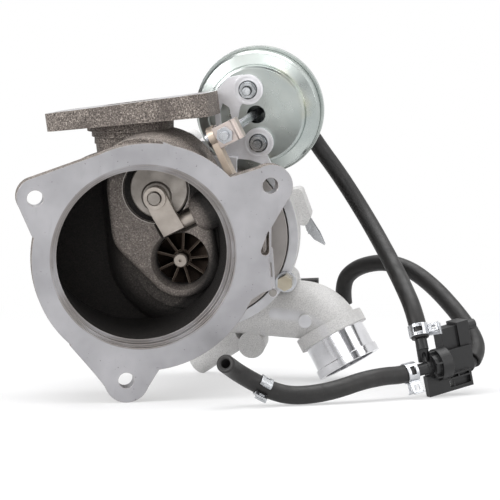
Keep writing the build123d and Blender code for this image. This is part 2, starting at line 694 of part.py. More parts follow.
def turbine_housing():
    seat_x, seat_z = SEAT_CENTRE
    back0, back1 = BACK_FLANGE_Y
    scroll = (180, 320, SCROLL_INNER_R, SCROLL_BIG, SCROLL_SMALL, SCROLL_Y)
    shell = in_flange(CHAMBER_R + WALL, FLANGE_T / 2, 95) & before(CHAMBER_FLOOR_Y + WALL)
    bulge = along_y(BULGE_R, seat_x, seat_z, -198, CHAMBER_FLOOR_Y + WALL)
    shell += bulge - FLANGE * (Pos(0, 0, 50) * Cylinder(120, 100))
    core = island() + neck() + grown(SCROLL_WALL, *scroll)
    core += ring_solid(0, 34, ISLAND_Y + 8, back0 + 1) + ring_solid(0, BACK_FLANGE_R, back0, back1)
    housing = shell - (chamber() - core) + core + inlet_flange() + outlet_flange()
    housing += bush_boss()
    housing -= chamber() & in_flange(CHAMBER_R, -1, FLANGE_T + 2)
    housing -= in_flange(CHAMBER_R, -1, FLANGE_T + 2) + in_flange(STEP_R, -1, STEP_DEPTH)
    housing -= in_flange(OUTLET_R, -1, OUTLET_DEPTH)
    inner, outer = BUSH_S
    housing -= drum(gate_point(-62, 0, 0), gate_point(inner, 0, 0), GATE_SHAFT_R + 2.2)
    housing -= drum(gate_point(inner - 0.5, 0, 0), gate_point(outer, 0, 0), BUSH_R)
    tip, rim = TURBINE_TIP_R + SHROUD_GAP, TURBINE_RIM_R + SHROUD_GAP
    housing -= turned(
        (0, ISLAND_Y - 1), (BORE_MOUTH_R, ISLAND_Y - 1), (BORE_MOUTH_R, ISLAND_Y + 0.5),
        (tip, EXDUCER_Y - 0.5), (tip, -143.0),
        (rim, -137.5), (SCROLL_INNER_R + 4, -137.5), (SCROLL_INNER_R + 4, -129.7),
        (HOT_BORE_R, -129.7), (HOT_BORE_R, -121), (HOT_BORE_R + 3.2, -121),
        (HOT_BORE_R + 3.2, HOT_FLANGE_Y[0]), (HOT_FLANGE_R + 0.2, HOT_FLANGE_Y[0]),
        (HOT_FLANGE_R + 0.2, back1 + 1), (0, back1 + 1),
    )
    housing -= spiral(*scroll)
    housing -= inlet_passage()
    housing -= along_y(SEAT_R, seat_x, seat_z, ISLAND_Y - 1, ISLAND_Y + SEAT_DEPTH)
    ring_x, ring_z, ring_r = SEAT_RING
    housing += along_y(ring_r, ring_x, ring_z, LEVER_CENTRE[1], ISLAND_Y + SEAT_DEPTH + 0.5)
    housing -= drum((seat_x, ISLAND_Y - 1, seat_z), (seat_x - 16, SCROLL_Y, seat_z), GATE_PORT_R)
    for hole in slab_holes():
        housing -= hole
    for x, y in OUTLET_HOLES:
        housing -= FLANGE * (Pos(x, y, 0) * Cylinder(OUTLET_HOLE_R, 60))
    for angle in CLAMP_BOLTS:
        x, z = around(angle, CLAMP_BOLT_R)
        housing -= along_y(M6_R, x, z, back1 - 7.5, back1 + 1)
    return housing


def clamp_plates():
    low = HOT_FLANGE_Y[1]
    plates = []
    for first in (0, 2, 4):
        middle = CLAMP_BOLTS[first] + 30
        sector = ring_solid(HOT_FLANGE_R - 5, BACK_FLANGE_R, low, low + CLAMP_PLATE_T)
        edge = 40
        keep = Rot(0, -middle, 0) * Pos(60, low, 0) * Box(120, 20, 2 * edge)
        plate = sector & keep
        for angle in (CLAMP_BOLTS[first], CLAMP_BOLTS[first] + 60):
            x, z = around(angle, CLAMP_BOLT_R)
            plate -= along_y(M6_R + 0.2, x, z, low - 1, low + 5)
        plates.append(plate)
    return plates


def clamp_bolts():
    low = BACK_FLANGE_Y[1] - 7.5
    bolts = []
    for angle in CLAMP_BOLTS:
        x, z = around(angle, CLAMP_BOLT_R)
        seat = HOT_FLANGE_Y[1] + CLAMP_PLATE_T
        if angle == BRACKET_BOLT:
            seat += BRACKET_T
        head = Plane(origin=(x, seat, z), z_dir=(0, 1, 0)) * prism(NUT_AF, 5)
        bolts.append(head + along_y(M6_R, x, z, low, seat))
    return bolts


# ---------------------------------------------------------------- wastegate pieces
def wastegate_bushing():
    inner, outer = BUSH_S
    bush = drum(gate_point(inner, 0, 0), gate_point(outer, 0, 0), BUSH_R)
    return bush - drum(gate_point(inner - 1, 0, 0), gate_point(outer + 1, 0, 0), GATE_SHAFT_R + 0.06)


def wastegate_shaft_arm():
    """The shaft with the cranked arm welded over its inner end."""
    half = ARM_W / 2
    shaft = Pos(-27.0, 0, 0) * (Rot(0, 90, 0) * Cylinder(GATE_SHAFT_R, 58.6))
    side = make_face(Polyline(
        (-3.6, 0.5), (5.6, 0.5), (7.0, 5.4), (STUD_T + half, 5.4), (STUD_T + half, 5.4 + ARM_T),
        (11.5, 5.4 + ARM_T), (-3.6, 1.4 + ARM_T), close=True
    ))
    arm = extrude(Plane(origin=(ARM_S, 0, 0), x_dir=(0, 1, 0), z_dir=(1, 0, 0)) * side, half, both=True)
    round_end = Pos(ARM_S, STUD_T, 0) * Cylinder(half, 40)
    arm &= round_end + Pos(ARM_S, STUD_T - 20, 0) * Box(ARM_W, 40, 40)
    arm -= Pos(ARM_S, STUD_T, 8) * Cylinder(STUD_R + 0.15, 10)
    return GATE * (shaft + arm)


def wastegate_flap():
    disc = Pos(*FLAP_AT, FLAP_LIFT + FLAP_RIM_T / 2) * Cylinder(FLAP_R, FLAP_RIM_T)
    disc = chamfer(disc.edges().group_by(Axis.Z)[-1], 0.8)
    rise = FLAP_T - FLAP_RIM_T
    disc += Pos(ARM_S, STUD_T, FLAP_LIFT + FLAP_T - rise / 2) * Cone(10.4, 9.2, rise)
    stud = Pos(ARM_S, STUD_T, 7.8) * Cylinder(STUD_R, 10.4)
    return GATE * (disc + stud)


def flap_washer():
    low = 5.4 + ARM_T
    ring = Cylinder(7.6, 2) - Cylinder(STUD_R + 0.9, 3)
    return GATE * (Pos(ARM_S, STUD_T, low + 1.05) * ring)


def wastegate_lever():
    outline = Circle(8.5) + Pos(PIN_T, PIN_Z) * Circle(7.6)
    lean = Rot(0, 0, -LEVER_LEAN)
    outline += lean * (Pos(LEVER_REACH / 2, 0) * Rectangle(LEVER_REACH, 12))
    outline -= Circle(GATE_SHAFT_R + SLIP_GAP) + Pos(PIN_T, PIN_Z) * Circle(PIN_R + SLIP_GAP)
    plane = Plane(origin=(0, 0, 0), x_dir=(0, 1, 0), z_dir=(1, 0, 0))
    return GATE * extrude(plane * outline, LEVER_T / 2, both=True)


def on_pin(radius, start, end):
    """A cylinder about the lever's pin between two places along the wastegate shaft."""
    return drum(gate_point(start, PIN_T, PIN_Z), gate_point(end, PIN_T, PIN_Z), radius)


def lever_pin():
    groove = on_pin(PIN_R + 1, 4.9, 5.7) - on_pin(3.2, 4.8, 5.8)
    return on_pin(PIN_R, -3.0, 6.4) + on_pin(5.8, -4.6, -2.4) - groove


def pin_clip():
    ring = on_pin(6.3, 4.95, 5.65) - on_pin(3.25, 4.8, 5.8)
    return ring - GATE * (Pos(5.3, PIN_T - 5, PIN_Z) * Box(2, 10, 5.4))


# ---------------------------------------------------------------- actuator pieces
def lathe(*points):
    """A solid of revolution about the can's axis from (radius, height) corners."""
    return revolve(Plane.XZ * make_face(Polyline(*points, close=True)), Axis.Z)


def rod_hole(radius):
    return drum(ROD_FOOT - ROD_AXIS * 10, ROD_TIP + ROD_AXIS * 10, radius)


def front_cup():
    wall, rim = CAN_WALL_R, CAN_RIM_Z
    t = CAN_T
    face = CAN_FACE_R
    cup = lathe(
        (CAN_HOLE_R, 0), (face, 0), (face + 1.6, -0.9), (face + 2.4, -4.6), (wall - 1.4, -7.0),
        (wall, -8.8), (wall, rim), (CAN_R - 0.8, rim), (CAN_R - 0.8, rim - t), (wall - t, rim - t),
        (wall - t, -9.3), (wall - 2.2, -8.1), (face + 1.3, -5.6), (face + 0.5, -1.8),
        (face - 0.3, -t), (CAN_HOLE_R, -t),
    )
    for x, y in STUDS:
        cup -= Pos(x, y, 0) * Cylinder(M6_R + 0.1, 6)
    return CAN * cup


def rear_cup():
    rim, back, radius = CAN_RIM_Z, CAN_BACK_Z, CAN_BACK_R
    t = CAN_T
    cup = lathe(
        (0, back), (radius - 3, back), (radius, back + 3), (radius, rim - 3.4), (CAN_R, rim - 3.4),
        (CAN_R, rim + t), (CAN_WALL_R + 0.1, rim + t), (CAN_WALL_R + 0.1, rim + 0.05),
        (CAN_R - 0.7, rim + 0.05), (CAN_R - 0.7, rim - 2.25), (radius - t, rim - 2.25),
        (radius - t, back + 3.4), (radius - 3.4, back + t), (0, back + t),
    )
    return CAN * cup - STANCE.inverse() * swept(nipple_path(), NIPPLE_R + SLIP_GAP)


def diaphragm():
    rim = CAN_RIM_Z - CAN_T
    back = PISTON_Z - 1.0
    skin = lathe(
        (CAN_R - 0.8, rim), (CAN_R - 0.8, rim - 1), (CAN_R - 9, rim - 1), (PISTON_R + 5, back - 3.0),
        (PISTON_R + 2.5, back - 3.0), (PISTON_R + 1.2, back - 1.0), (0, back - 1.0), (0, back),
        (PISTON_R + 1.8, back), (PISTON_R + 3, back - 1.9), (PISTON_R + 4.4, back - 1.9),
        (CAN_R - 9.6, rim),
    )
    return CAN * skin


def piston():
    cup = lathe(
        (0, PISTON_Z), (PISTON_R - 6, PISTON_Z), (PISTON_R - 5, PISTON_Z + 0.8), (PISTON_R - 1, PISTON_Z + 0.8),
        (PISTON_R - 1, PISTON_Z + 5), (PISTON_R, PISTON_Z + 5), (PISTON_R, PISTON_Z - 1 + 0.05),
        (0, PISTON_Z - 1 + 0.05),
    )
    return CAN * cup


def actuator_spring():
    """A coil spring between the piston and the front cup."""
    wire = SPRING_WIRE_R
    low = PISTON_Z + wire + 0.05
    height = -CAN_T - wire - 0.05 - low
    path = Pos(0, 0, low) * Helix(pitch=height / 4, height=height, radius=SPRING_R)
    profile = Plane(origin=path @ 0, z_dir=path % 0) * Circle(wire)
    return CAN * sweep(profile, path=path, is_frenet=True)


def actuator_rod():
    tip = ROD_FOOT + ROD_AXIS * ((ROD_TIP - ROD_FOOT).length)
    web = gate_point(0, 0, WEB_Z[0]).Y
    share = (ROD_FOOT.Y - web) / (ROD_FOOT.Y - ROD_TIP.Y)
    shoulder = ROD_FOOT + (ROD_TIP - ROD_FOOT) * share - ROD_AXIS * 0.8
    rod = drum(ROD_FOOT + ROD_AXIS * 0.5, tip, ROD_R)
    rod += drum(shoulder - ROD_AXIS * 4, shoulder, ROD_R + 0.4)
    return rod - before(ROD_TIP.Y)


def clevis():
    """A folded strip: the web that the rod is bolted to, and a leg each side of the lever."""
    low, high = WEB_Z
    first, last = CLEVIS_S
    web = Pos((first + last) / 2, 39.5, (low + high) / 2) * Box(last - first, 14, WEB_T)
    left = Pos(first + CLEVIS_T / 2, 0, 0) * leg((31.5, -2), (32.5, high), (46.5, high), (47.5, -4), -5.2)
    right = Pos(last - CLEVIS_T / 2, 39.5, (high - 6) / 2) * Box(CLEVIS_T, 14, high + 6)
    right += Pos(last - 2.6, 39.5, high) * (Rot(90, 0, 0) * Cylinder(1.1, 14))
    strip = GATE * (web + left + right)
    strip -= on_pin(PIN_R + PIN_PLAY, 2.5, 5.0)
    return strip - rod_hole(ROD_R + 0.05)


def leg(low_left, high_left, high_right, low_right, bottom):
    """One leg of the clevis, across the shaft, with a rounded end."""
    middle = (low_left[0] + low_right[0]) / 2
    radius = (low_right[0] - low_left[0]) / 2
    plate = make_face(Polyline(low_left, high_left, high_right, low_right, close=True))
    plate += Pos(middle, bottom + (radius - 8.2)) * Circle(8.2) + make_face(Polyline(
        low_left, low_right, (middle + 8.2, bottom), (middle - 8.2, bottom), close=True
    ))
    plane = Plane(origin=(0, 0, 0), x_dir=(0, 1, 0), z_dir=(1, 0, 0))
    return extrude(plane * plate, CLEVIS_T / 2, both=True)


def rod_nut():
    nut = GATE * (Pos(9.9, 39.3, WEB_Z[1]) * prism(NUT_AF, 5))
    return nut - rod_hole(ROD_R + SLIP_GAP)


def actuator_bracket():
    """The sheet bracket on the can's face, and its foot under a clamp plate bolt."""
    (x1, y1), (x2, y2) = STUDS
    plate = Pos(x1, y1) * Circle(RING_BOSS_R) + Pos(x2, y2) * Circle(RING_BOSS_R)
    plate += make_face(Polyline(
        (-28, 15), (-20, 25.3), (-9, 27.6), (-5, 12), (-10.5, 6), (-12.5, -3), (-8, -14), (-3, -28),
        (8, -28.2), (11, -34.5), (7.5, -35.3), (-4, -31.5), (-22.6, -30), (-27, -20), (-28.3, -1),
        close=True
    ))
    plate -= make_face(Polyline((-25, 2), (-23, 8), (-18.4, 5), (-16.6, -2.6), (-24, -7.7), close=True))
    sheet = extrude(plate, BRACKET_T)
    for x, y in STUDS:
        sheet -= Pos(x, y, 0) * Cylinder(M6_R + 0.1, 20)
        sheet += Pos(x, y, BRACKET_T) * (Cylinder(RING_BOSS_R, 1.2) - Cylinder(RING_BOSS_R - 1.6, 2))
        sheet += Pos(x, y, BRACKET_T / 2) * (Cylinder(RING_BOSS_R, BRACKET_T) - Cylinder(8, 4))
    x, z = around(BRACKET_BOLT, CLAMP_BOLT_R)
    seat = HOT_FLANGE_Y[1] + CLAMP_PLATE_T
    foot = along_y(8.0, x, z, seat, seat + BRACKET_T)
    foot += Pos(x + 5, seat + BRACKET_T / 2, z + 10.5) * Box(18, BRACKET_T, 21)
    foot += Pos(x + 5, seat + 3.9, z + 20) * Box(18, 7.8, 2.4)
    foot -= along_y(M6_R + 0.2, x, z, seat - 1, seat + 5)
    clear = CAN * (Pos(0, 0, -20) * Cylinder(CAN_R + 5, 40))
    return CAN * sheet + (foot - clear)


def actuator_studs():
    pins = []
    for x, y in STUDS:
        head = Pos(x, y, -CAN_T - 1.0) * Cylinder(4.4, 2.0)
        pins.append(CAN * (head + Pos(x, y, 4.4) * Cylinder(M6_R, 13.2)))
    return pins


def actuator_nuts():
    nuts = []
    for x, y in STUDS:
        nut = Pos(x, y, BRACKET_T) * (prism(NUT_AF, 5) + Pos(0, 0, 0.5) * Cylinder(6.6, 1.0))
        nuts.append(CAN * (nut - Pos(x, y, 0) * Cylinder(M6_R + SLIP_GAP, 40)))
    return nuts


# ---------------------------------------------------------------- compressor housing
def tube_plane(distance):
    """A plane across the outlet tube, at a distance past its collar's middle."""
    origin = Vector(*TUBE_COLLAR) + unit(TUBE_DIR) * distance
    return Plane(origin=origin, z_dir=unit(TUBE_DIR))


def tube_end():
    return reach_to_floor(TUBE_COLLAR, TUBE_DIR, BEAD_R)


def duct_path():
    along = unit(TUBE_DIR)
    collar = Vector(*TUBE_COLLAR)
    start = Vector(0, VOLUTE_BACK_Y + VOLUTE_BIG, -(VOLUTE_INNER_R + VOLUTE_BIG))
    corner = collar - along * ELBOW_RUN
    start += (start - corner).normalized() * 3
    return FilletPolyline(start, corner, collar + along * tube_end(), radius=ELBOW_R)


def swept(path, radius):
    return sweep(Plane(origin=path @ 0, z_dir=path % 0) * Circle(radius), path=path)


def compressor_housing():
    back, front = RING_Y
    scroll = (270, -312, VOLUTE_INNER_R, VOLUTE_BIG, VOLUTE_SMALL, VOLUTE_BACK_Y, 1)
    end = tube_end()
    mouth = INLET_OUTER_R
    body = turned(
        (0, -54), (50, -54), (50, -45), (40, -34), (28, -INLET_L - 4), (mouth, -INLET_L),
        (mouth, 0), (0, 0),
    )
    body += ring_solid(0, RING_R, back, front)
    body += grown(VOLUTE_WALL, *scroll)
    body += swept(duct_path(), VOLUTE_BIG + VOLUTE_WALL)
    body += tube_plane(end / 2) * Cylinder(TUBE_R, end)
    body += tube_plane(0) * Cylinder(COLLAR_RING_R, COLLAR_RING_T)
    body += tube_plane(end - BEAD_T / 2) * Cylinder(BEAD_R, BEAD_T)
    for angle in RING_BOLTS:
        x, z = around(angle, RING_BOLT_R)
        body += along_y(RING_BOSS, x, z, back, front + 4)
    foot = reach_to_floor(FOOT_START, FOOT_DIR, FOOT_R)
    body += drum(FOOT_START, Vector(*FOOT_START) + unit(FOOT_DIR) * foot, FOOT_R)
    body += along_y(10, 33, -84, -50, -28)
    body += along_y(5.0, 75.0, -59.7, -71.5, -50)
    body += lug()
    body += drum((44, -38, -31), PORT_ROOT, 4.5)
    body += STANCE.inverse() * drum((88, -40, -70), (100, -6, -73.5), 7.5)
    body -= ring_solid(0, RING_INNER_R, back - 1, -54)
    body -= turned(
        (0, 1), (INLET_R, 1), (INLET_R, -1), (INDUCER_R + 0.4, -12), (INDUCER_R + 0.4, -39.5),
        (INDUCER_R + 1.6, -45), (EXDUCER_R + 0.4, SHROUD_Y), (DIFFUSER_R, SHROUD_Y),
        (DIFFUSER_R, -54.1), (0, -54.1),
    )
    body -= spiral(*scroll)
    body -= swept(duct_path(), VOLUTE_BIG)
    body -= tube_plane(end) * Cylinder(TUBE_BORE_R, 20)
    for angle in RING_BOLTS:
        x, z = around(angle, RING_BOLT_R)
        body -= along_y(M6_R, x, z, back - 1, front)
    body -= along_y(2.7, *around(TAG_ANGLE, TAG_R), back - 1, back + 6)
    body -= port_line(-4, 6, 2.0)
    start, along = hose_start(COMPRESSOR_HOSE)
    body -= STANCE.inverse() * drum(start - along * 14, start, NIPPLE_R)
    return body


def compressor_bolts():
    back = RING_Y[0]
    bolts = []
    for angle in RING_BOLTS:
        x, z = around(angle, RING_BOLT_R)
        head = Plane(origin=(x, back - WASHER_T, z), z_dir=(0, -1, 0)) * prism(NUT_AF, 5.6)
        bolts.append(head + along_y(M6_R, x, z, back - WASHER_T, back + 14))
    return bolts


def compressor_washers():
    back = RING_Y[0]
    rings = []
    for angle in RING_BOLTS:
        x, z = around(angle, RING_BOLT_R)
        ring = along_y(WASHER_R, x, z, back - WASHER_T, back)
        rings.append(ring - along_y(M6_R + 0.2, x, z, back - 3, back + 1))
    return rings


def port_cap():
    """A rubber cap over a spare nipple."""
    plane = Plane(origin=Vector(*PORT_ROOT) + Vector(2.6, 0, 0), z_dir=(1, 0, 0))
    return plane * (Pos(0, 0, 6.5) * Cone(2.8, 3.7, 13)) - port_line(-1, 9.5, 2.0)


def port_line(start, end, radius):
    """A cylinder along the spare nipple."""
    root = Vector(*PORT_ROOT)
    return drum(root + Vector(start, 0, 0), root + Vector(end, 0, 0), radius)


def port_nipple():
    return port_line(-3.9, 9.4, 1.98)


def spring_clip():
    leaf = make_face(Polyline(
        (70.6, 9.2), (75.6, 10.6), (82.6, 0), (86.4, -8.6), (78.5, -4.5), (73.0, 1.8), close=True
    ))
    clip = Pos(0, -44, 0) * extrude(Plane.XZ * leaf, 0.6, both=True)
    clip += Pos(0, -39, 0) * extrude(Plane.XZ * leaf, 0.6, both=True)
    clip += Pos(76.5, -41.5, 1.0) * Box(5, 6, 3)
    return clip - lug()


def lug():
    """The cast lug on the housing's ring."""
    rounds = Pos(58, 26) * Circle(6) + Pos(67, 30.2) * Circle(3.4) + Pos(72.7, 14.5) * Circle(3.6)
    rounds += Pos(71.4, 10.4) * Circle(3.5) + Pos(62, 13) * Circle(4)
    side = make_hull(rounds.edges())
    return extrude(Plane.XZ * side, 52) - extrude(Plane.XZ * side, 36)


def tag_strip():
    x, z = around(TAG_ANGLE, TAG_R)
    disc = RING_Y[0]
    plane = Plane(origin=(x, disc, z), x_dir=(0.08, 0, -0.997), z_dir=(0, -1, 0))
    strip = Pos(-16, 0) * Rectangle(32, 4.2) + Circle(3.4) + Pos(-32, 0) * Circle(2.1)
    strip -= Pos(-17, 0) * RectangleRounded(11, 1.2, 0.55)
    return plane * extrude(strip - Circle(2.72), 1.2)


def tag_pin():
    x, z = around(TAG_ANGLE, TAG_R)
    disc = RING_Y[0]
    return along_y(2.7, x, z, disc - 2.4, disc + 6)


# ---------------------------------------------------------------- hoses and what they fit
def hose_start(points):
    """A hose's first point and the way it leaves it."""
    first, second = Vector(*points[0]), Vector(*points[1])
    return first, (second - first).normalized()


def hose_end(points):
    """A hose's last point and the way it looks back from it."""
    return hose_start(points[::-1])


def bends(points):
    """A radius for each corner of a route, from its runs and its turn."""
    corners = [Vector(*point) for point in points]
    radii = []
    for before_it, corner, after_it in zip(corners, corners[1:], corners[2:]):
        arriving, leaving = corner - before_it, after_it - corner
        turn = radians(arriving.get_angle(leaving))
        shorter = min(arriving.length, leaving.length)
        radii.append(BEND_SHARE * shorter / tan(turn / 2))
    return radii


def hose(points, far_bore=NIPPLE_IN + 1):
    radii = bends(points)
    print("hose bends, mm:", [round(radius) for radius in radii])
    path = FilletPolyline(*[Vector(*point) for point in points], radius=radii)
    tube = swept(path, HOSE_R)
    start, along = hose_start(points)
    tube -= drum(start - along, start + along * (NIPPLE_IN + 1), HOSE_BORE_R)
    end, back = hose_end(points)
    return tube - drum(end - back, end + back * far_bore, HOSE_BORE_R)


def band(centre, along, towards, ear=EAR, slack=0.05):
    """A spring clamp round a hose, with its two ears standing out one way."""
    plane = Plane(origin=centre, x_dir=towards, z_dir=along)
    inner, outer = HOSE_R + slack, HOSE_R + slack + CLAMP_T
    clamp = Cylinder(outer, CLAMP_W)
    for side in (-1, 1):
        tab = Pos(inner + ear / 2, side * 2.6, 0) * Box(ear, CLAMP_T, CLAMP_W)
        tab -= Pos(inner + ear / 2 + 1, side * 2.6, 0) * Box(ear * 0.4, 2, CLAMP_W * 0.4)
        clamp += tab
    return plane * (clamp - Cylinder(inner, CLAMP_W + 1))


def hose_clamps():
    clamps = []
    end, back = hose_end(ACTUATOR_HOSE)
    clamps.append(band(end + back * 5.5, back, (1, 0.1, 0.1)))
    start, along = hose_start(VALVE_HOSE)
    clamps.append(band(start + along * 5, along, (0.2, -0.3, -1), slack=0.35))
    near, far = Vector(*VALVE_HOSE[-4]), Vector(*VALVE_HOSE[-5])
    clamps.append(band(near * 0.4 + far * 0.6, far - near, (-0.3, -1, 0.05), 7.0, 0.7))
    return clamps


def nipple_path():
    """The actuator's bent nipple, from inside the rear cup into its hose."""
    start, along = hose_start(ACTUATOR_HOSE)
    back = Vector(0.001, 0.979, 0.205)
    corner = start - along * 8
    root = corner - back * 11.9
    return FilletPolyline(root, corner, start + along * NIPPLE_IN, radius=6.0)


def actuator_nipple():
    path = nipple_path()
    return swept(path, NIPPLE_R) - swept(path, NIPPLE_BORE_R)


def compressor_nipple():
    start, along = hose_start(COMPRESSOR_HOSE)
    tube = drum(start - along * 13.9, start + along * NIPPLE_IN, NIPPLE_R)
    return tube - drum(start - along * 15, start + along * (NIPPLE_IN + 1), NIPPLE_BORE_R)


# ---------------------------------------------------------------- boost valve
def slot(x, y, z, length, depth, height):
    """A block from its low corner."""
    return Pos(x + length / 2, y + depth / 2, z + height / 2) * Box(length, depth, height)


def across(radius, y, z, start, end):
    """A cylinder along the valve's own X."""
    return drum((start, y, z), (end, y, z), radius)


def valve_body():
    y, z = VALVE_AXIS
    cy, cz = COIL_AXIS
    case = slot(16, 0, 10.6, 23, 16, 16.4)
    case += across(VALVE_R, y, z, 9, 17) + across(VALVE_R - 2.5, y, z, 5, 17)
    case += across(4.6, y, z, 1.5, 10)
    for angle in range(0, 360, 60):
        rib = slot(4.5, -0.6, 3, 4.6, 1.2, VALVE_R - 3.4)
        case += Pos(0, y, z) * (Rot(angle + 15, 0, 0) * rib)
    case += slot(0, -2, 0, 17, 5, 14) + slot(15, -2, 0, 19.5, 5, 11.5) + slot(4, -2, 8, 12, 10, 8)
    case -= slot(20.5, -3, 2.4, 12.5, 4, 5.2) + slot(16.8, -3, 2.4, 2.8, 8, 5.2)
    case -= slot(17.5, -3, 8.6, 6.6, 3.6, 1.8) + slot(25.2, -3, 8.6, 7.6, 3.6, 1.8)
    case += drum((2.4, 1.8, 24), (2.6, 1.8, 36.0), 4.0)
    case = VALVE * case
    top, down = hose_end(ACTUATOR_HOSE)
    side, left = hose_start(VALVE_HOSE)
    right, out = hose_end(COMPRESSOR_HOSE)
    for point, along, reach in ((top, down, 8), (side, left, 10), (right, out, 7.5)):
        case += drum(point - along * reach, point + along * NIPPLE_IN, NIPPLE_R)
        case += drum(point - along * reach, point - along * 0.6, NIPPLE_R + 1.2)
    for point, along, reach in ((top, down, 16), (side, left, 16), (right, out, 9)):
        case -= drum(point - along * reach, point + along * (NIPPLE_IN + 1), NIPPLE_BORE_R)
    hollow = across(8.0, y, z, 8.5, 13.5) + across(COIL_R, cy, cz, 17.5, 37)
    return case - VALVE * (hollow + across(1.5, 4.5, cz, 13, 18))


def valve_coil():
    y, z = COIL_AXIS
    coil = across(COIL_R, y, z, 18.5, 37) - across(2.5, y, z, 18, 37.5)
    return VALVE * (coil - (across(COIL_R + 1, y, z, 20, 35.5) - across(COIL_R - 0.8, y, z, 19, 36)))


def valve_plunger():
    y, z = COIL_AXIS
    return VALVE * (across(2.4, y, z, 19.0, 33.0) + across(1.2, y, z, 18.7, 20))


def valve_connector():
    block = slot(20, 4, 27.0, 13, 11, 14.5) + slot(32, 2, 27.0, 9, 14, 16.5)
    block += across(3.4, 9.5, 38.2, 40, 49.5)
    block -= across(2.4, 9.5, 38.2, 43, 51)
    for pin in (-1, 1):
        block += across(0.5, 9.5 + pin, 38.2, 42, 47)
    return VALVE * block


TURBO = {
    "turbine_housing": turbine_housing,
    "turbine_wheel_shaft": turbine_wheel,
    "heat_shield": heat_shield,
    "clamp_plates": clamp_plates,
    "clamp_plate_bolts": clamp_bolts,
    "bearing_housing": bearing_housing,
    "floating_bearings": floating_bearings,
    "bearing_snap_rings": snap_rings,
    "thrust_bearing": thrust_bearing,
    "thrust_collar": thrust_collar,
    "oil_deflector": oil_deflector,
    "seal_sleeve": seal_sleeve,
    "seal_plate": seal_plate,
    "seal_plate_screws": seal_plate_screws,
    "seal_plate_o_ring": o_ring,
    "piston_rings": piston_rings,
    "compressor_wheel": compressor_wheel,
    "shaft_nut": shaft_nut,
    "compressor_housing": compressor_housing,
    "compressor_bolts": compressor_bolts,
    "compressor_washers": compressor_washers,
    "port_nipple": port_nipple,
    "port_cap": port_cap,
    "spring_clip": spring_clip,
    "tag_strip": tag_strip,
    "tag_pin": tag_pin,
    "wastegate_bushing": wastegate_bushing,
    "wastegate_shaft_arm": wastegate_shaft_arm,
    "wastegate_flap": wastegate_flap,
    "flap_washer": flap_washer,
    "wastegate_lever": wastegate_lever,
    "lever_pin": lever_pin,
    "pin_clip": pin_clip,
    "actuator_front_cup": front_cup,
    "actuator_rear_cup": rear_cup,
    "diaphragm": diaphragm,
    "actuator_piston": piston,
    "actuator_spring": actuator_spring,
    "actuator_rod": actuator_rod,
    "clevis": clevis,
    "rod_nut": rod_nut,
    "actuator_bracket": actuator_bracket,
    "actuator_studs": actuator_studs,
    "actuator_nuts": actuator_nuts,
}
LAID = {
    "actuator_nipple": actuator_nipple,
    "compressor_nipple": compressor_nipple,
    "actuator_hose": lambda: hose(ACTUATOR_HOSE),
    "compressor_hose": lambda: hose(COMPRESSOR_HOSE),
    "valve_hose": lambda: hose(VALVE_HOSE, 10),
    "hose_clamps": hose_clamps,
    "valve_body": valve_body,
    "valve_coil": valve_coil,
    "valve_plunger": valve_plunger,
    "valve_connector": valve_connector,
}


def solids_of(made):
    """Every solid of a piece or of a group of pieces."""
    pieces = made if isinstance(made, list) else [made]
    found = []
    for piece in pieces:
        found += piece.solids()
    return found


os.makedirs("parts", exist_ok=True)
for name, make in TURBO.items():
    solids = [STANCE * solid for solid in solids_of(make())]
    shape = solids[0] if len(solids) == 1 else Compound(children=solids)
    export_step(shape, "parts/" + name + ".step")
    print(name, len(solids))
for name, make in LAID.items():
    solids = solids_of(make())
    shape = solids[0] if len(solids) == 1 else Compound(children=solids)
    export_step(shape, "parts/" + name + ".step")
    print(name, len(solids))
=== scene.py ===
"""Looks of the turbocharger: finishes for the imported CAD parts, and its hoses and clamps."""
import math

import bpy
import bmesh
from mathutils import Matrix, Vector


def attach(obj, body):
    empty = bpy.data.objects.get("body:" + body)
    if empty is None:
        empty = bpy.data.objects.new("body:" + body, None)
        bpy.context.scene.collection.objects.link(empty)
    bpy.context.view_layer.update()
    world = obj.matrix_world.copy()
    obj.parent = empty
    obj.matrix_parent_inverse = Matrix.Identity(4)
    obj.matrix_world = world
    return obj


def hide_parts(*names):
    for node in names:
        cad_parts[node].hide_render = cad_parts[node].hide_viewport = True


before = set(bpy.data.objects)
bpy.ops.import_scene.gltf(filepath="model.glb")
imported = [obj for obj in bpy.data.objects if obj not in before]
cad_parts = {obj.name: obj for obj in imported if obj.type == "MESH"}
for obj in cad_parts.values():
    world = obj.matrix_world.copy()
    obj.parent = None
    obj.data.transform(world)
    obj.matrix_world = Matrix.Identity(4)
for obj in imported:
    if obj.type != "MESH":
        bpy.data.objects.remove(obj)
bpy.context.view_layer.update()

MM = 0.001
FLOOR = -0.116
# The shaft frame of the turbocharger, turned to the way it stands.
SHAFT_RISE = math.radians(8.81)
ROLL = math.radians(1.25)
STANCE = Matrix.Rotation(SHAFT_RISE, 3, "X") @ Matrix.Rotation(ROLL, 3, "Y")


def spot(x, y, z):
    """A point given in mm in the shaft frame."""
    return STANCE @ Vector((x, y, z)) * MM


def way(x, y, z):
    """A direction given in the shaft frame."""
    return (STANCE @ Vector((x, y, z))).normalized()


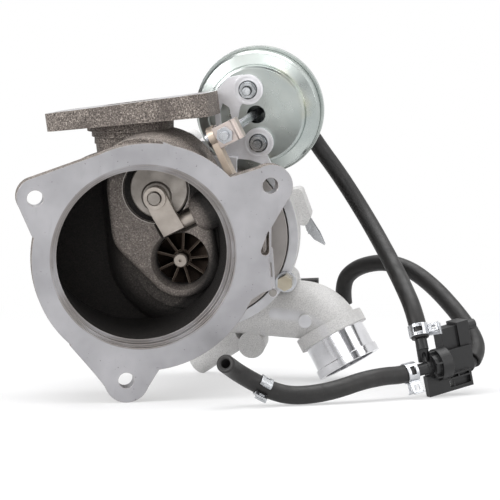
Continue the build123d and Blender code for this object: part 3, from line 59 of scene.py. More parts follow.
SHAFT = way(0, 1, 0)
FLANGE_CENTRE = spot(-15.5, -202.5, 10.1)
FLANGE_TURN = math.radians(20)
FLANGE_OUT = way(math.sin(FLANGE_TURN), -math.cos(FLANGE_TURN), 0)
FLANGE_X = way(math.cos(FLANGE_TURN), math.sin(FLANGE_TURN), 0)
FLANGE_UP = way(0, 0, 1)
FLANGE_HOLES = ((-69.1, 41.0), (-12.8, -81.1), (83.4, 44.4))
SLAB_TURN = Matrix.Rotation(math.radians(-3.3), 3, "X") @ Matrix.Rotation(math.radians(-8), 3, "Y")
SLAB_CENTRE = spot(-36.2, -136.5, 103.8)
SLAB_UP = (STANCE @ SLAB_TURN @ Vector((0, 0, 1))).normalized()
TUBE_COLLAR = spot(92.4, -51.8, -70.4)
TUBE_DIR = way(0.505, -0.2425, -0.828)
SEAT = spot(-16.2, -159.0, 47.7)


CAN_TILT = math.radians(3)
CAN_FACE = spot(43.7, -103.2, 92.9)
CAN_X = way(1, 0, 0)
CAN_AXIS = way(0, -math.cos(CAN_TILT), -math.sin(CAN_TILT))
CAN_UP = way(0, -math.sin(CAN_TILT), math.cos(CAN_TILT))
CAN_STUDS = ((-5.2, 17.5), (1.85, -19.3))


# ---------------------------------------------------------------- camera
def place_camera():
    camera = bpy.data.objects.new("camera", bpy.data.cameras.new("camera"))
    bpy.context.scene.collection.objects.link(camera)
    camera.location = (0.20666, -1.27732, 0.02267)
    camera.rotation_euler = (math.radians(88), 0, math.radians(8.096))
    camera.data.lens = 122.4
    camera.data.sensor_width = 36
    camera.data.clip_start = 0.05
    bpy.context.scene.camera = camera


# ---------------------------------------------------------------- finishes
def tone(red, green, blue):
    """A colour as it is seen on a screen, 0 to 255."""
    steps = []
    for value in (red, green, blue):
        share = value / 255
        low = share / 12.92
        steps.append(low if share <= 0.04045 else ((share + 0.055) / 1.055) ** 2.4)
    return (*steps, 1.0)


class Finish:
    """A material, with short ways to add nodes to it."""

    def __init__(self, name):
        self.material = bpy.data.materials.new(name)
        self.material.use_nodes = True
        self.tree = self.material.node_tree
        self.shader = self.tree.nodes["Principled BSDF"]
        place = self.tree.nodes.new("ShaderNodeTexCoord")
        self.place = place.outputs["Object"]
        self.facing = place.outputs["Normal"]
        self.along_hose = place.outputs["UV"]

    def add(self, kind, **settings):
        node = self.tree.nodes.new(kind)
        for key, value in settings.items():
            setattr(node, key, value)
        return node

    def feed(self, socket, value):
        if isinstance(value, bpy.types.NodeSocket):
            self.tree.links.new(value, socket)
        else:
            socket.default_value = value

    def math(self, operation, first, second=0.0, clamp=False):
        node = self.add("ShaderNodeMath", operation=operation, use_clamp=clamp)
        self.feed(node.inputs[0], first)
        self.feed(node.inputs[1], second)
        return node.outputs[0]

    def vector(self, operation, first, second=(0, 0, 0)):
        node = self.add("ShaderNodeVectorMath", operation=operation)
        self.feed(node.inputs[0], first)
        self.feed(node.inputs[1], second)
        scalar = operation in ("DOT_PRODUCT", "LENGTH", "DISTANCE")
        return node.outputs["Value" if scalar else "Vector"]

    def noise(self, scale, detail=2.0, rough=0.5, stretch=None, place=None):
        node = self.add("ShaderNodeTexNoise")
        source = place or self.place
        if stretch:
            source = self.vector("MULTIPLY", source, stretch)
        self.feed(node.inputs["Vector"], source)
        node.inputs["Scale"].default_value = scale
        node.inputs["Detail"].default_value = detail
        node.inputs["Roughness"].default_value = rough
        return node.outputs["Fac"]

    def ramp(self, value, *stops):
        """A colour for each value: stops are (position, colour)."""
        node = self.add("ShaderNodeValToRGB")
        self.feed(node.inputs[0], value)
        band = node.color_ramp
        while len(band.elements) < len(stops):
            band.elements.new(0.5)
        for element, (position, colour) in zip(band.elements, stops):
            element.position = position
            element.color = colour
        return node.outputs["Color"]

    def step(self, value, low, high, bottom=0.0, top=1.0):
        """A smooth step of a value from low to high."""
        node = self.add("ShaderNodeMapRange", interpolation_type="SMOOTHSTEP")
        for index, entry in enumerate((value, low, high, bottom, top)):
            self.feed(node.inputs[index], entry)
        return node.outputs[0]

    def mix(self, first, second, share):
        node = self.add("ShaderNodeMix", data_type="RGBA")
        self.feed(node.inputs[0], share)
        self.feed(node.inputs[6], first)
        self.feed(node.inputs[7], second)
        return node.outputs[2]

    def blend(self, first, second, share):
        node = self.add("ShaderNodeMix", data_type="FLOAT")
        self.feed(node.inputs[0], share)
        self.feed(node.inputs[2], first)
        self.feed(node.inputs[3], second)
        return node.outputs[0]

    def depth(self, point, direction):
        """How far a place is along a direction from a point, in metres."""
        away = self.vector("SUBTRACT", self.place, tuple(point))
        return self.vector("DOT_PRODUCT", away, tuple(direction))

    def reach(self, point, direction):
        """How far a place is from a line, in metres."""
        away = self.vector("SUBTRACT", self.place, tuple(point))
        return self.vector("LENGTH", self.vector("CROSS_PRODUCT", away, tuple(direction)))

    def faces(self, direction):
        """How squarely a surface faces a direction."""
        return self.vector("DOT_PRODUCT", self.facing, tuple(direction))

    def edges(self, radius):
        """Where a surface is within a radius of a sharp edge."""
        soft = self.add("ShaderNodeBevel", samples=6)
        soft.inputs["Radius"].default_value = radius
        plain = self.add("ShaderNodeNewGeometry")
        same = self.vector("DOT_PRODUCT", soft.outputs[0], plain.outputs["Normal"])
        return self.step(same, 0.995, 0.86)

    def relief(self, height, strength, distance, under=None):
        node = self.add("ShaderNodeBump")
        self.feed(node.inputs["Height"], height)
        self.feed(node.inputs["Strength"], strength)
        node.inputs["Distance"].default_value = distance
        if under is not None:
            self.feed(node.inputs["Normal"], under)
        return node.outputs[0]

    def soft_edges(self, radius):
        node = self.add("ShaderNodeBevel", samples=6)
        node.inputs["Radius"].default_value = radius
        return node.outputs[0]

    def done(self, colour, metal, rough, normal=None):
        self.feed(self.shader.inputs["Base Color"], colour)
        self.feed(self.shader.inputs["Metallic"], metal)
        self.feed(self.shader.inputs["Roughness"], rough)
        if normal is not None:
            self.feed(self.shader.inputs["Normal"], normal)
        return self.material


def any_of(finish, *masks):
    total = masks[0]
    for mask in masks[1:]:
        total = finish.math("MAXIMUM", total, mask)
    return total


def all_of(finish, *masks):
    total = masks[0]
    for mask in masks[1:]:
        total = finish.math("MULTIPLY", total, mask)
    return total


def machined_colour(finish, dark, light):
    """Fine milled metal: faint clouds, dark pits and hairline marks."""
    clouds = finish.noise(28, 3, 0.6)
    colour = finish.ramp(clouds, (0.3, dark), (0.7, light))
    pits = finish.step(finish.noise(520, 2, 0.5), 0.30, 0.24)
    marks = finish.noise(260, 2, 0.5, stretch=(1, 1, 0.06))
    colour = finish.mix(colour, dark, finish.step(marks, 0.58, 0.75, 0.0, 0.35))
    return finish.mix(colour, tone(96, 92, 92), finish.math("MULTIPLY", pits, 0.7))


def iron_housing():
    """The turbine housing: raw cast iron, a milled outlet face, and a chamber darkened by soot and by
    painted shade in its deep parts and round the flap seat.
    """
    f = Finish("raw_cast_iron")
    grain = f.noise(1000, 3, 0.7)
    blotch = f.noise(45, 3, 0.6)
    cast = f.ramp(
        grain, (0.34, tone(52, 47, 45)), (0.48, tone(112, 104, 98)),
        (0.58, tone(144, 135, 128)), (0.70, tone(214, 205, 195)),
    )
    cast = f.mix(cast, tone(78, 71, 67), f.step(blotch, 0.42, 0.66, 0.0, 0.5))
    behind = f.depth(FLANGE_CENTRE, -FLANGE_OUT)
    from_bore = f.reach(FLANGE_CENTRE, FLANGE_OUT)
    shaft_depth = f.depth(spot(0, -159, 0), SHAFT)
    inside = all_of(f, f.step(behind, 0.0080, 0.0086), f.step(from_bore, 0.0576, 0.0570),
                    f.step(shaft_depth, 0.0240, 0.0230))
    # Painted shade: the chamber's deep parts, away from the bore's rim and behind the island's front, go
    # near black. This is partly soot and partly painted in place of the shade that falls there.
    deep_painted_shade = any_of(f, f.step(from_bore, 0.044, 0.0525), f.step(shaft_depth, 0.0005, 0.012))
    black = f.ramp(grain, (0.4, tone(18, 16, 15)), (0.75, tone(46, 41, 38)))
    # Painted shade: a dark ring inside the flap seat stands in for the shadow of a deeper recess.
    seat_painted_shade = all_of(f, f.step(f.reach(SEAT, SHAFT), 0.0224, 0.0220), f.step(shaft_depth, 0.0004, 0.0008))
    # The chamber's soot tone, with the painted shade of its deep parts and the seat recess laid over it.
    soot_and_painted_shade = f.mix(f.mix(cast, tone(120, 113, 108), 0.4), black, any_of(f, deep_painted_shade, seat_painted_shade))
    from_seat = f.reach(SEAT, SHAFT)
    lip = all_of(f, f.step(from_seat, 0.0218, 0.0223), f.step(from_seat, 0.0231, 0.0227),
                 f.step(shaft_depth, 0.0006, 0.0002))
    soot_and_painted_shade = f.mix(soot_and_painted_shade, tone(196, 190, 184), lip)
    colour = f.mix(cast, soot_and_painted_shade, inside)
    milled_face = all_of(f, f.step(f.faces(FLANGE_OUT), 0.93, 0.985), f.step(behind, 0.0006, 0.0002))
    milled_bore = all_of(f, f.step(behind, 0.0086, 0.0080), f.step(from_bore, 0.0612, 0.0606))
    masks = [milled_face, milled_bore]
    for x, y in FLANGE_HOLES:
        centre = FLANGE_CENTRE + (FLANGE_X * x + FLANGE_UP * y) * MM
        masks.append(f.step(f.reach(centre, FLANGE_OUT), 0.0066, 0.0062))
    masks.append(all_of(f, f.step(f.faces(SLAB_UP), 0.93, 0.985),
                        f.step(f.depth(SLAB_CENTRE, SLAB_UP), -0.0012, -0.0008)))
    milled = any_of(f, *masks)
    bright = machined_colour(f, tone(158, 157, 160), tone(180, 179, 182))
    bore = f.math("MULTIPLY", milled_bore, f.step(f.noise(30, 2), 0.35, 0.6, 0.2, 0.75))
    bright = f.mix(bright, tone(120, 114, 110), bore)
    colour = f.mix(colour, bright, milled)
    worn = f.math("MULTIPLY", f.edges(0.0007), f.math("SUBTRACT", 1.0, inside))
    colour = f.mix(colour, tone(186, 178, 170), f.math("MULTIPLY", worn, 0.5))
    rough = f.blend(f.blend(0.62, 0.8, inside), 0.40, milled)
    metal = f.blend(f.blend(0.35, 0.1, inside), 0.85, milled)
    height = f.math("ADD", grain, f.math("MULTIPLY", blotch, 0.8))
    normal = f.relief(height, f.blend(0.75, 0.06, milled), 0.0009, f.soft_edges(0.0006))
    return f.done(colour, metal, rough, normal)


def cast_metal(name, dark, middle, light, grain_size=1100, rough=0.6, metal=0.6, depth=0.0007):
    f = Finish(name)
    grain = f.noise(grain_size, 3, 0.65)
    colour = f.ramp(grain, (0.34, dark), (0.52, middle), (0.70, light))
    colour = f.mix(colour, light, f.math("MULTIPLY", f.edges(0.0005), 0.5))
    normal = f.relief(grain, 0.5, depth, f.soft_edges(0.0005))
    return f.done(colour, metal, rough, normal)


def sheet_metal(name, dark, light, rough=0.3, grain=0.15, metal=1.0, edge=0.0004):
    """Plated or rolled steel: clouds in its colour and gloss, and brighter edges."""
    f = Finish(name)
    clouds = f.noise(55, 3, 0.6)
    fine = f.noise(900, 2, 0.5)
    colour = f.ramp(clouds, (0.32, dark), (0.68, light))
    colour = f.mix(colour, dark, f.step(fine, 0.55, 0.75, 0.0, grain))
    colour = f.mix(colour, light, f.math("MULTIPLY", f.edges(edge), 0.7))
    gloss = f.step(f.noise(90, 3, 0.6), 0.3, 0.7, rough * 0.85, rough * 1.2)
    normal = f.relief(fine, 0.08, 0.0003, f.soft_edges(edge))
    return f.done(colour, metal, gloss, normal)


def zinc_can():
    """The actuator's cups: drawn zinc-plated steel with a faint green and yellow cast."""
    f = Finish("plated_can")
    clouds = f.noise(22, 3, 0.55)
    colour = f.ramp(clouds, (0.3, tone(164, 172, 170)), (0.7, tone(196, 201, 197)))
    stain = f.step(f.noise(34, 2, 0.5), 0.60, 0.74, 0.0, 0.35)
    colour = f.mix(colour, tone(196, 190, 160), stain)
    spun = f.noise(500, 1, 0.4, stretch=(1, 0.12, 1))
    gloss = f.step(f.noise(60, 3, 0.6), 0.3, 0.7, 0.24, 0.36)
    normal = f.relief(spun, 0.04, 0.0003, f.soft_edges(0.0006))
    return f.done(colour, 1.0, gloss, normal)


def aluminium_housing():
    """The compressor housing: blasted castings, and turned and milled places."""
    f = Finish("cast_aluminium")
    grain = f.noise(1300, 3, 0.65)
    clouds = f.noise(24, 3, 0.6)
    cast = f.ramp(
        grain, (0.34, tone(192, 191, 190)), (0.52, tone(216, 215, 214)), (0.72, tone(234, 233, 231)),
    )
    cast = f.mix(cast, tone(190, 189, 188), f.step(clouds, 0.45, 0.7, 0.0, 0.4))
    beyond = f.depth(TUBE_COLLAR, TUBE_DIR)
    from_tube = f.reach(TUBE_COLLAR, TUBE_DIR)
    tube = all_of(f, f.step(beyond, 0.0046, 0.0050), f.step(from_tube, 0.0300, 0.0290))
    ring_front = f.depth(spot(0, -64, 0), -SHAFT)
    front = all_of(f, f.step(f.faces(-SHAFT), 0.95, 0.99), f.step(ring_front, -0.0006, -0.0003))
    milled = any_of(f, tube, front)
    turned = f.ramp(f.noise(60, 2, 0.5), (0.3, tone(205, 205, 208)), (0.7, tone(226, 226, 229)))
    colour = f.mix(cast, turned, milled)
    rings = f.add("ShaderNodeTexNoise", noise_dimensions="1D")
    f.feed(rings.inputs["W"], f.math("MULTIPLY", beyond, 1.0))
    rings.inputs["Scale"].default_value = 2600
    height = f.blend(grain, rings.outputs["Fac"], milled)
    colour = f.mix(colour, tone(222, 222, 221), f.math("MULTIPLY", f.edges(0.0005), 0.5))
    normal = f.relief(height, f.blend(0.3, 0.05, milled), 0.0005, f.soft_edges(0.0007))
    rough = f.blend(0.55, 0.16, tube)
    rough = f.blend(rough, 0.4, front)
    metal = f.blend(f.blend(0.2, 0.6, front), 1.0, tube)
    return f.done(colour, metal, rough, normal)


def turned_iron():
    """The bearing housing: cast iron, with its big disc turned."""
    f = Finish("turned_iron")
    grain = f.noise(1100, 3, 0.65)
    clouds = f.noise(40, 3, 0.6)
    cast = f.ramp(grain, (0.34, tone(62, 57, 54)), (0.52, tone(104, 97, 92)), (0.72, tone(150, 142, 135)))
    disc = all_of(f, f.step(f.depth(spot(0, -64.2, 0), SHAFT), -0.0004, 0.0),
                  f.step(f.depth(spot(0, -53.8, 0), -SHAFT), -0.0004, 0.0))
    turned = f.ramp(clouds, (0.3, tone(168, 163, 160)), (0.7, tone(188, 183, 180)))
    colour = f.mix(cast, turned, disc)
    normal = f.relief(grain, f.blend(0.5, 0.12, disc), 0.0007, f.soft_edges(0.0005))
    return f.done(colour, 0.7, f.blend(0.6, 0.45, disc), normal)


def wheel_metal():
    """The turbine wheel: a dark investment casting with a ground nose."""
    f = Finish("wheel_alloy")
    grain = f.noise(1500, 3, 0.6)
    colour = f.ramp(grain, (0.3, tone(34, 28, 24)), (0.7, tone(60, 50, 43)))
    nose = f.step(f.depth(spot(0, -155.6, 0), -SHAFT), 0.0, 0.0006)
    colour = f.mix(colour, tone(158, 150, 142), nose)
    shaft = f.step(f.depth(spot(0, -130, 0), SHAFT), 0.0, 0.001)
    colour = f.mix(colour, tone(170, 170, 172), shaft)
    colour = f.mix(colour, tone(150, 138, 124), f.math("MULTIPLY", f.edges(0.0003), 0.6))
    normal = f.relief(grain, 0.25, 0.0003)
    return f.done(colour, 0.85, 0.42, normal)


def rubber(name="hose_rubber"):
    """Extruded rubber: black with a faint brown, fine lines along it and a dull sheen."""
    f = Finish(name)
    clouds = f.noise(70, 3, 0.6)
    colour = f.ramp(clouds, (0.3, tone(13, 12, 12)), (0.7, tone(24, 22, 21)))
    dust = f.step(f.noise(700, 2, 0.6), 0.62, 0.78, 0.0, 0.25)
    colour = f.mix(colour, tone(76, 72, 69), dust)
    lines = f.noise(1.0, 2, 0.5, stretch=(60, 6, 1), place=f.along_hose)
    height = f.math("ADD", lines, f.math("MULTIPLY", f.noise(900, 2, 0.5), 0.4))
    gloss = f.step(f.noise(120, 3, 0.6), 0.3, 0.7, 0.42, 0.58)
    return f.done(colour, 0.0, gloss, f.relief(height, 0.22, 0.0003))


def flange_nut():
    """The actuator's nuts and stud ends: zinc on steel, with a painted shadow line round each stud and a
    painted dark ring on each nut's chamfer.
    """
    f = Finish("flange_nut")
    colour = f.ramp(f.noise(160, 3, 0.6), (0.3, tone(150, 153, 156)), (0.7, tone(214, 217, 220)))
    # Painted shade: a dark ring in the gap round each stud end, and one on each nut's outer chamfer,
    # where shade falls.
    lines = []
    for x, z in CAN_STUDS:
        away = f.reach(CAN_FACE + (CAN_X * x + CAN_UP * z) * MM, CAN_AXIS)
        lines.append(all_of(f, f.step(away, 0.0027, 0.0029), f.step(away, 0.0036, 0.0033)))
        lines.append(all_of(f, f.step(away, 0.0056, 0.0059), f.step(away, 0.0066, 0.0062)))
    # Painted shade: the rings above are laid in near black.
    colour = f.mix(colour, tone(38, 40, 42), any_of(f, *lines))
    colour = f.mix(colour, tone(232, 234, 236), f.math("MULTIPLY", f.edges(0.0003), 0.4))
    return f.done(colour, 0.9, 0.26, f.relief(f.noise(700, 2, 0.5), 0.06, 0.0003))


def plastic():
    """Glass-filled plastic: black, finely pebbled, greyer on its corners."""
    f = Finish("moulded_plastic")
    pebble = f.noise(1400, 2, 0.6)
    colour = f.ramp(f.noise(50, 2, 0.5), (0.3, tone(12, 12, 13)), (0.7, tone(20, 20, 21)))
    colour = f.mix(colour, tone(64, 63, 64), f.math("MULTIPLY", f.edges(0.0004), 0.4))
    gloss = f.step(pebble, 0.3, 0.7, 0.38, 0.52)
    return f.done(colour, 0.0, gloss, f.relief(pebble, 0.12, 0.0003, f.soft_edges(0.0004)))


def finish_nodes():
    steel = sheet_metal("plated_steel", tone(168, 170, 172), tone(214, 216, 220), 0.26)
    bright = sheet_metal("bright_steel", tone(158, 160, 164), tone(196, 198, 202), 0.28)
    bracket = sheet_metal("bracket_steel", tone(218, 217, 220), tone(238, 237, 240), 0.4, 0.15, 0.55)
    hot = sheet_metal("arm_steel", tone(168, 160, 152), tone(192, 184, 176), 0.5, 0.3)
    lever = sheet_metal("heat_tinted_steel", tone(188, 172, 156), tone(218, 204, 190), 0.45, 0.35, 0.7)
    clevis = sheet_metal("clevis_steel", tone(186, 174, 168), tone(212, 200, 194), 0.36, 0.25)
    flap = sheet_metal("flap_steel", tone(146, 140, 134), tone(170, 164, 158), 0.55, 0.4)
    worn = sheet_metal("yellow_zinc", tone(176, 166, 146), tone(206, 198, 180), 0.36, 0.35)
    billet = sheet_metal("billet_alloy", tone(196, 196, 199), tone(222, 222, 225), 0.22)
    bronze = sheet_metal("bronze", tone(176, 132, 78), tone(206, 162, 102), 0.3)
    copper = sheet_metal("copper_wire", tone(178, 98, 62), tone(214, 130, 90), 0.35)
    shield = sheet_metal("stainless_sheet", tone(150, 146, 142), tone(182, 178, 174), 0.35)
    red = cast_metal(
        "red_rubber", tone(96, 22, 18), tone(132, 32, 26), tone(150, 44, 36), rough=0.5, metal=0.0,
    )
    hose = rubber()
    cap = plastic()
    can = zinc_can()
    nut = flange_nut()
    finishes = {
        "turbine_housing": iron_housing(),
        "turbine_wheel_shaft": wheel_metal(),
        "bearing_housing": turned_iron(),
        "compressor_housing": aluminium_housing(),
        "heat_shield": shield,
        "clamp_plates": shield,
        "clamp_plate_bolts": steel,
        "floating_bearings": bronze,
        "bearing_snap_rings": bright,
        "thrust_bearing": bronze,
        "thrust_collar": bright,
        "oil_deflector": shield,
        "seal_sleeve": bright,
        "seal_plate": billet,
        "seal_plate_screws": steel,
        "seal_plate_o_ring": red,
        "piston_rings": bright,
        "compressor_wheel": billet,
        "shaft_nut": steel,
        "compressor_bolts": worn,
        "compressor_washers": steel,
        "port_nipple": bronze,
        "port_cap": hose,
        "spring_clip": steel,
        "tag_strip": bracket,
        "tag_pin": shield,
        "wastegate_bushing": flap,
        "wastegate_shaft_arm": hot,
        "wastegate_flap": flap,
        "flap_washer": hot,
        "wastegate_lever": lever,
        "lever_pin": bright,
        "pin_clip": bright,
        "actuator_front_cup": can,
        "actuator_rear_cup": can,
        "diaphragm": red,
        "actuator_piston": can,
        "actuator_spring": bright,
        "actuator_rod": steel,
        "clevis": clevis,
        "rod_nut": bright,
        "actuator_bracket": bracket,
        "actuator_studs": nut,
        "actuator_nuts": nut,
        "actuator_nipple": steel,
        "compressor_nipple": steel,
        "hose_clamps": steel,
        "valve_body": cap,
        "valve_connector": cap,
        "valve_coil": copper,
        "valve_plunger": bright,
    }
    for name, material in finishes.items():
        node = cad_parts[name]
        node.data.materials.clear()
        node.data.materials.append(material)
    return {"hose": hose, "clamp": steel}


# ---------------------------------------------------------------- hoses
HOSE_R = 0.006
BORE_R = 0.0029
HOSE_OPEN_DEPTH = 0.0135    # how far in the hollow end goes
ACTUATOR_HOSE = (
    (70, -64, 75), (81, -55, 57), (98, -53, 34), (117, -60, 5),
    (133, -82, -20), (147, -109, -43), (156, -128, -61), (159.6, -133, -76.7),
)
COMPRESSOR_HOSE = (
    (98, -13, -62), (96, -15, -46), (107, -23, -34), (127, -32, -29), (147, -44, -33),
    (165, -59, -45), (181, -73, -61), (193, -84, -76), (198, -94, -88), (193.8, -103.3, -93.8),
)
VALVE_HOSE = (
    (156.9, -139.4, -97.9), (148, -145, -100.1), (137, -154, -100), (123, -165, -102), (107, -176, -107),
    (92, -185, -109.4), (78, -191, -109.6), (66, -195, -106), (55, -198, -100), (46.8, -205, -94),
    (42.3, -213, -89.2), (40.8, -222, -86.2),
)


def link(name, mesh, material, body="housing"):
    mesh.materials.append(material)
    piece = bpy.data.objects.new(name, mesh)
    bpy.context.scene.collection.objects.link(piece)
    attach(piece, body)
    return piece


def route(name, points):
    """The points along a hose's own smooth line, read from its spline."""
    curve = bpy.data.curves.new(name + "_route", "CURVE")
    curve.dimensions = "3D"
    spline = curve.splines.new("NURBS")
    spline.points.add(len(points) - 1)
    for point, place in zip(spline.points, points):
        point.co = (place[0] * MM, place[1] * MM, place[2] * MM, 1)
    spline.use_endpoint_u = True
    spline.order_u = 3
    spline.resolution_u = 10
    holder = bpy.data.objects.new(name + "_route", curve)
    bpy.context.scene.collection.objects.link(holder)
    mesh = bpy.data.meshes.new_from_object(holder)
    path = [vertex.co.copy() for vertex in mesh.vertices]
    bpy.data.objects.remove(holder)
    bpy.data.meshes.remove(mesh)
    return path


def frames_along(path):
    """Two steady directions across each point of a path."""
    aheads = []
    for index in range(len(path)):
        low, high = max(index - 1, 0), min(index + 1, len(path) - 1)
        aheads.append((path[high] - path[low]).normalized())
    side = aheads[0].orthogonal().normalized()
    found = []
    for ahead in aheads:
        side = (side - ahead * side.dot(ahead)).normalized()
        found.append((side, ahead.cross(side)))
    return found


def hose(name, points, far_end, finish, pieces):
    """A thick-walled tube along its route, with rounded cut ends."""
    path = route(name, points)
    across = frames_along(path)
    around = 36
    loops = []
    first, last = path[0], path[-1]
    lead = (path[1] - path[0]).normalized()
    tail = (path[-2] - path[-1]).normalized()
    stations = []
    depth = HOSE_OPEN_DEPTH
    stations.append((first + lead * depth, across[0], 0.0005))
    stations.append((first + lead * depth, across[0], BORE_R))
    stations.append((first + lead * 0.0005, across[0], BORE_R))
    stations.append((first, across[0], BORE_R + 0.0005))
    stations.append((first, across[0], HOSE_R - 0.0007))
    stations.append((first + lead * 0.0002, across[0], HOSE_R - 0.0002))
    for index, place in enumerate(path):
        if index == 0:
            stations.append((first + lead * 0.0007, across[0], HOSE_R))
        elif index == len(path) - 1:
            stations.append((last + tail * 0.0007, across[-1], HOSE_R))
        elif (place - first).length > 0.001 and (place - last).length > 0.001:
            stations.append((place, across[index], HOSE_R))
    stations.append((last + tail * 0.0002, across[-1], HOSE_R - 0.0002))
    stations.append((last, across[-1], HOSE_R - 0.0007))
    stations.append((last, across[-1], BORE_R + 0.0005))
    stations.append((last + tail * 0.0005, across[-1], BORE_R))
    stations.append((last + tail * depth, across[-1], BORE_R))
    stations.append((last + tail * depth, across[-1], 0.0005))
    maker = bmesh.new()
    layer = maker.loops.layers.uv.new("along")
    run = 0.0
    travel = []
    for index, (place, (side, up), radius) in enumerate(stations):
        if index:
            run += (place - stations[index - 1][0]).length
        travel.append(run)
        ring = []
        for step in range(around):
            angle = 2 * math.pi * step / around
            offset = side * math.cos(angle) + up * math.sin(angle)
            ring.append(maker.verts.new(place + offset * radius))
        loops.append(ring)
    for index in range(len(loops) - 1):
        for step in range(around):
            after = (step + 1) % around
            face = maker.faces.new((
                loops[index][step], loops[index][after], loops[index + 1][after], loops[index + 1][step],
            ))
            face.smooth = True
            corners = ((step, index), (step + 1, index), (step + 1, index + 1), (step, index + 1))
            for loop, (turn, at) in zip(face.loops, corners):
                loop[layer].uv = (turn / around, travel[at] * 10)
    maker.faces.new(loops[0])
    maker.faces.new(list(reversed(loops[-1])))
    bmesh.ops.recalc_face_normals(maker, faces=maker.faces)
    mesh = bpy.data.meshes.new(name)
    maker.to_mesh(mesh)
    maker.free()
    piece = link("rubber_" + name, mesh, finish)
    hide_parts(name)
    return piece


# ---------------------------------------------------------------- hose clamps
def strip(maker, rows, skip=()):
    """A folded strip of sheet: rows of points, its windows named by (row, column)."""
    grid = [[maker.verts.new(point) for point in row] for row in rows]
    for i in range(len(grid) - 1):
        for j in range(len(grid[0]) - 1):
            if (i, j) not in skip:
                maker.faces.new((grid[i][j], grid[i][j + 1], grid[i + 1][j + 1], grid[i + 1][j]))


def clamp(name, centre, along, towards, finish, ear=0.009, radius=0.0063):
    """A spring band clamp: a windowed band and two ears that spread it."""
    centre, along = Vector(centre) * MM, Vector(along).normalized()
    out = Vector(towards) - along * Vector(towards).dot(along)
    out.normalize()
    side = along.cross(out)
    half = 0.004
    columns = (-half, -half * 0.42, half * 0.42, half)
    maker = bmesh.new()
    rows = []
    gap = math.radians(22)
    turns = 44
    mean = radius + 0.0004
    for step in range(turns + 1):
        angle = gap + (2 * math.pi - 2 * gap) * step / turns
        spoke = out * math.cos(angle) + side * math.sin(angle)
        rows.append([centre + spoke * mean + along * shift for shift in columns])
    windows = {(row, 1) for row in (*range(6, 13), *range(30, 37))}
    strip(maker, rows, windows)
    for sense, length, lean in ((1, ear, 0.10), (-1, ear * 0.8, 0.28)):
        angle = gap * sense
        spoke = out * math.cos(angle) + side * math.sin(angle)
        foot = centre + spoke * mean
        rise = (out + side * sense * lean).normalized()
        curl = (out * 0.35 + side * sense).normalized()
        rows = []
        for share in (0, 0.15, 0.35, 0.55, 0.75, 0.9):
            width = 1.0 if sense > 0 else 0.72
            rows.append([foot + rise * length * share + along * shift * width for shift in columns])
        top = rows[-1]
        rows.append([point + curl * 0.0012 + rise * 0.0005 for point in top])
        rows.append([point + curl * 0.0024 for point in top])
        strip(maker, rows, {(2, 1), (3, 1)})
    bmesh.ops.remove_doubles(maker, verts=maker.verts, dist=0.0002)
    bmesh.ops.recalc_face_normals(maker, faces=maker.faces)
    mesh = bpy.data.meshes.new(name)
    maker.to_mesh(mesh)
    maker.free()
    piece = link(name, mesh, finish)
    thicken = piece.modifiers.new("thick", "SOLIDIFY")
    thicken.thickness = 0.0008
    thicken.offset = 0
    rounded = piece.modifiers.new("rounded", "BEVEL")
    rounded.width = 0.0002
    rounded.segments = 2
    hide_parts("hose_clamps")
    return piece


def towards(points, near, far):
    return Vector(points[far]) - Vector(points[near])


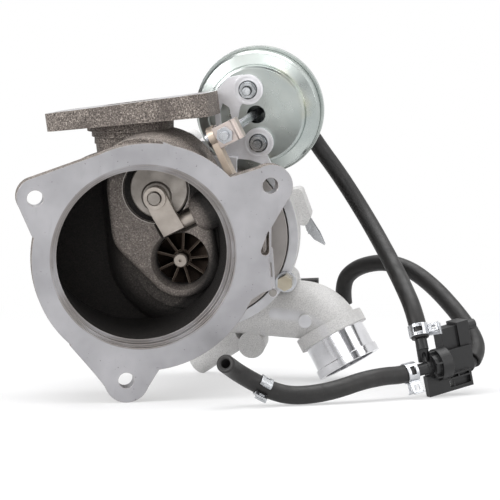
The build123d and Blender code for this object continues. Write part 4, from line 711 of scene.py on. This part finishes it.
# ---------------------------------------------------------------- stage
def white_stage():
    floor_mesh = bpy.data.meshes.new("floor")
    size = 8.0
    floor_mesh.from_pydata(
        [(-size, -size, FLOOR), (size, -size, FLOOR), (size, size, FLOOR), (-size, size, FLOOR)],
        [], [(0, 1, 2, 3)],
    )
    floor = bpy.data.objects.new("floor", floor_mesh)
    bpy.context.scene.collection.objects.link(floor)
    material = bpy.data.materials.new("white_floor")
    material.use_nodes = True
    tree = material.node_tree
    tree.nodes.clear()
    output = tree.nodes.new("ShaderNodeOutputMaterial")
    diffuse = tree.nodes.new("ShaderNodeBsdfDiffuse")
    diffuse.inputs["Color"].default_value = (0.86, 0.86, 0.87, 1)
    glow = tree.nodes.new("ShaderNodeEmission")
    glow.inputs["Color"].default_value = (1, 1, 1, 1)
    share = tree.nodes.new("ShaderNodeMixShader")
    place = tree.nodes.new("ShaderNodeTexCoord")
    away = tree.nodes.new("ShaderNodeVectorMath")
    away.operation = "LENGTH"
    tree.links.new(place.outputs["Object"], away.inputs[0])
    fade = tree.nodes.new("ShaderNodeMapRange")
    fade.inputs["From Min"].default_value = 0.25
    fade.inputs["From Max"].default_value = 0.75
    fade.inputs["To Min"].default_value = 0.5
    fade.inputs["To Max"].default_value = 1.0
    tree.links.new(away.outputs["Value"], fade.inputs["Value"])
    rays = tree.nodes.new("ShaderNodeLightPath")
    seen = tree.nodes.new("ShaderNodeMath")
    seen.operation = "MAXIMUM"
    tree.links.new(rays.outputs["Is Camera Ray"], seen.inputs[0])
    tree.links.new(rays.outputs["Is Glossy Ray"], seen.inputs[1])
    amount = tree.nodes.new("ShaderNodeMath")
    amount.operation = "MULTIPLY"
    tree.links.new(fade.outputs["Result"], amount.inputs[0])
    tree.links.new(seen.outputs[0], amount.inputs[1])
    tree.links.new(amount.outputs[0], share.inputs[0])
    tree.links.new(diffuse.outputs[0], share.inputs[1])
    tree.links.new(glow.outputs[0], share.inputs[2])
    tree.links.new(share.outputs[0], output.inputs["Surface"])
    floor_mesh.materials.append(material)

    world = bpy.data.worlds.new("studio")
    bpy.context.scene.world = world
    world.use_nodes = True
    tree = world.node_tree
    tree.nodes.clear()
    output = tree.nodes.new("ShaderNodeOutputWorld")
    sky = tree.nodes.new("ShaderNodeBackground")
    room = tree.nodes.new("ShaderNodeBackground")
    room.inputs["Color"].default_value = (1, 1, 1, 1)
    room.inputs["Strength"].default_value = 0.4
    place = tree.nodes.new("ShaderNodeTexCoord")
    lean = tree.nodes.new("ShaderNodeVectorMath")
    lean.operation = "DOT_PRODUCT"
    lean.inputs[1].default_value = (0.62, 0.70, 0.14)
    tree.links.new(place.outputs["Generated"], lean.inputs[0])
    ramp = tree.nodes.new("ShaderNodeValToRGB")
    ramp.color_ramp.elements[0].position = 0.22
    ramp.color_ramp.elements[0].color = (0.07, 0.07, 0.074, 1)
    ramp.color_ramp.elements[1].position = 0.66
    ramp.color_ramp.elements[1].color = (1, 1, 1, 1)
    middle = ramp.color_ramp.elements.new(0.42)
    middle.color = (0.34, 0.34, 0.35, 1)
    depth = tree.nodes.new("ShaderNodeMapRange")
    depth.inputs["From Min"].default_value = -1
    depth.inputs["From Max"].default_value = 1
    tree.links.new(lean.outputs["Value"], depth.inputs["Value"])
    tree.links.new(depth.outputs["Result"], ramp.inputs[0])
    tree.links.new(ramp.outputs["Color"], sky.inputs["Color"])
    rays = tree.nodes.new("ShaderNodeLightPath")
    seen = tree.nodes.new("ShaderNodeMath")
    seen.operation = "MAXIMUM"
    tree.links.new(rays.outputs["Is Camera Ray"], seen.inputs[0])
    tree.links.new(rays.outputs["Is Glossy Ray"], seen.inputs[1])
    also = tree.nodes.new("ShaderNodeMath")
    also.operation = "MAXIMUM"
    tree.links.new(seen.outputs[0], also.inputs[0])
    tree.links.new(rays.outputs["Is Transmission Ray"], also.inputs[1])
    choose = tree.nodes.new("ShaderNodeMixShader")
    tree.links.new(also.outputs[0], choose.inputs[0])
    tree.links.new(room.outputs[0], choose.inputs[1])
    tree.links.new(sky.outputs[0], choose.inputs[2])
    tree.links.new(choose.outputs[0], output.inputs["Surface"])


def lamp(name, place, target, width, height, power):
    light = bpy.data.lights.new(name, "AREA")
    light.shape = "RECTANGLE"
    light.size = width
    light.size_y = height
    light.energy = power
    holder = bpy.data.objects.new(name, light)
    bpy.context.scene.collection.objects.link(holder)
    holder.location = place
    look = Vector(target) - Vector(place)
    holder.rotation_euler = look.to_track_quat("-Z", "Y").to_euler()


def studio_lamps():
    lamp("overhead", (0.1, -0.1, 1.3), (0, -0.1, 0), 1.4, 1.4, 20)
    lamp("left_front", (-1.1, -1.3, 0.7), (0, -0.15, 0), 0.7, 1.0, 17)
    lamp("right_side", (1.3, -0.7, 0.5), (0, -0.1, 0), 0.5, 1.0, 4)
    lamp("front_fill", (0.1, -1.9, 0.5), (0, -0.15, 0), 1.2, 0.8, 8)


place_camera()
materials = finish_nodes()
white_stage()
studio_lamps()

end, back = Vector(ACTUATOR_HOSE[-1]), towards(ACTUATOR_HOSE, -1, -2).normalized()
upper_clamp = clamp("clamp_upper", end + back * 5.5, back, (1, 0.1, 0.1), materials["clamp"])
start, ahead = Vector(VALVE_HOSE[0]), towards(VALVE_HOSE, 0, 1).normalized()
side_clamp = clamp("clamp_side", start + ahead * 5, ahead, (0.2, -0.3, -1), materials["clamp"])
middle = Vector(VALVE_HOSE[-4]) * 0.4 + Vector(VALVE_HOSE[-5]) * 0.6
free_clamp = clamp(
    "clamp_free", middle, towards(VALVE_HOSE, -4, -5), (-0.3, -1, 0.05), materials["clamp"], 0.007,
)
valve = [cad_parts[name] for name in ("valve_body", "valve_coil", "valve_plunger", "valve_connector")]
hose("actuator_hose", ACTUATOR_HOSE, "object", materials["hose"], [upper_clamp, *valve])
hose("compressor_hose", COMPRESSOR_HOSE, "object", materials["hose"], [])
hose("valve_hose", VALVE_HOSE, "bare", materials["hose"], [side_clamp, free_clamp])

bpy.context.scene.view_settings.view_transform = "Standard"
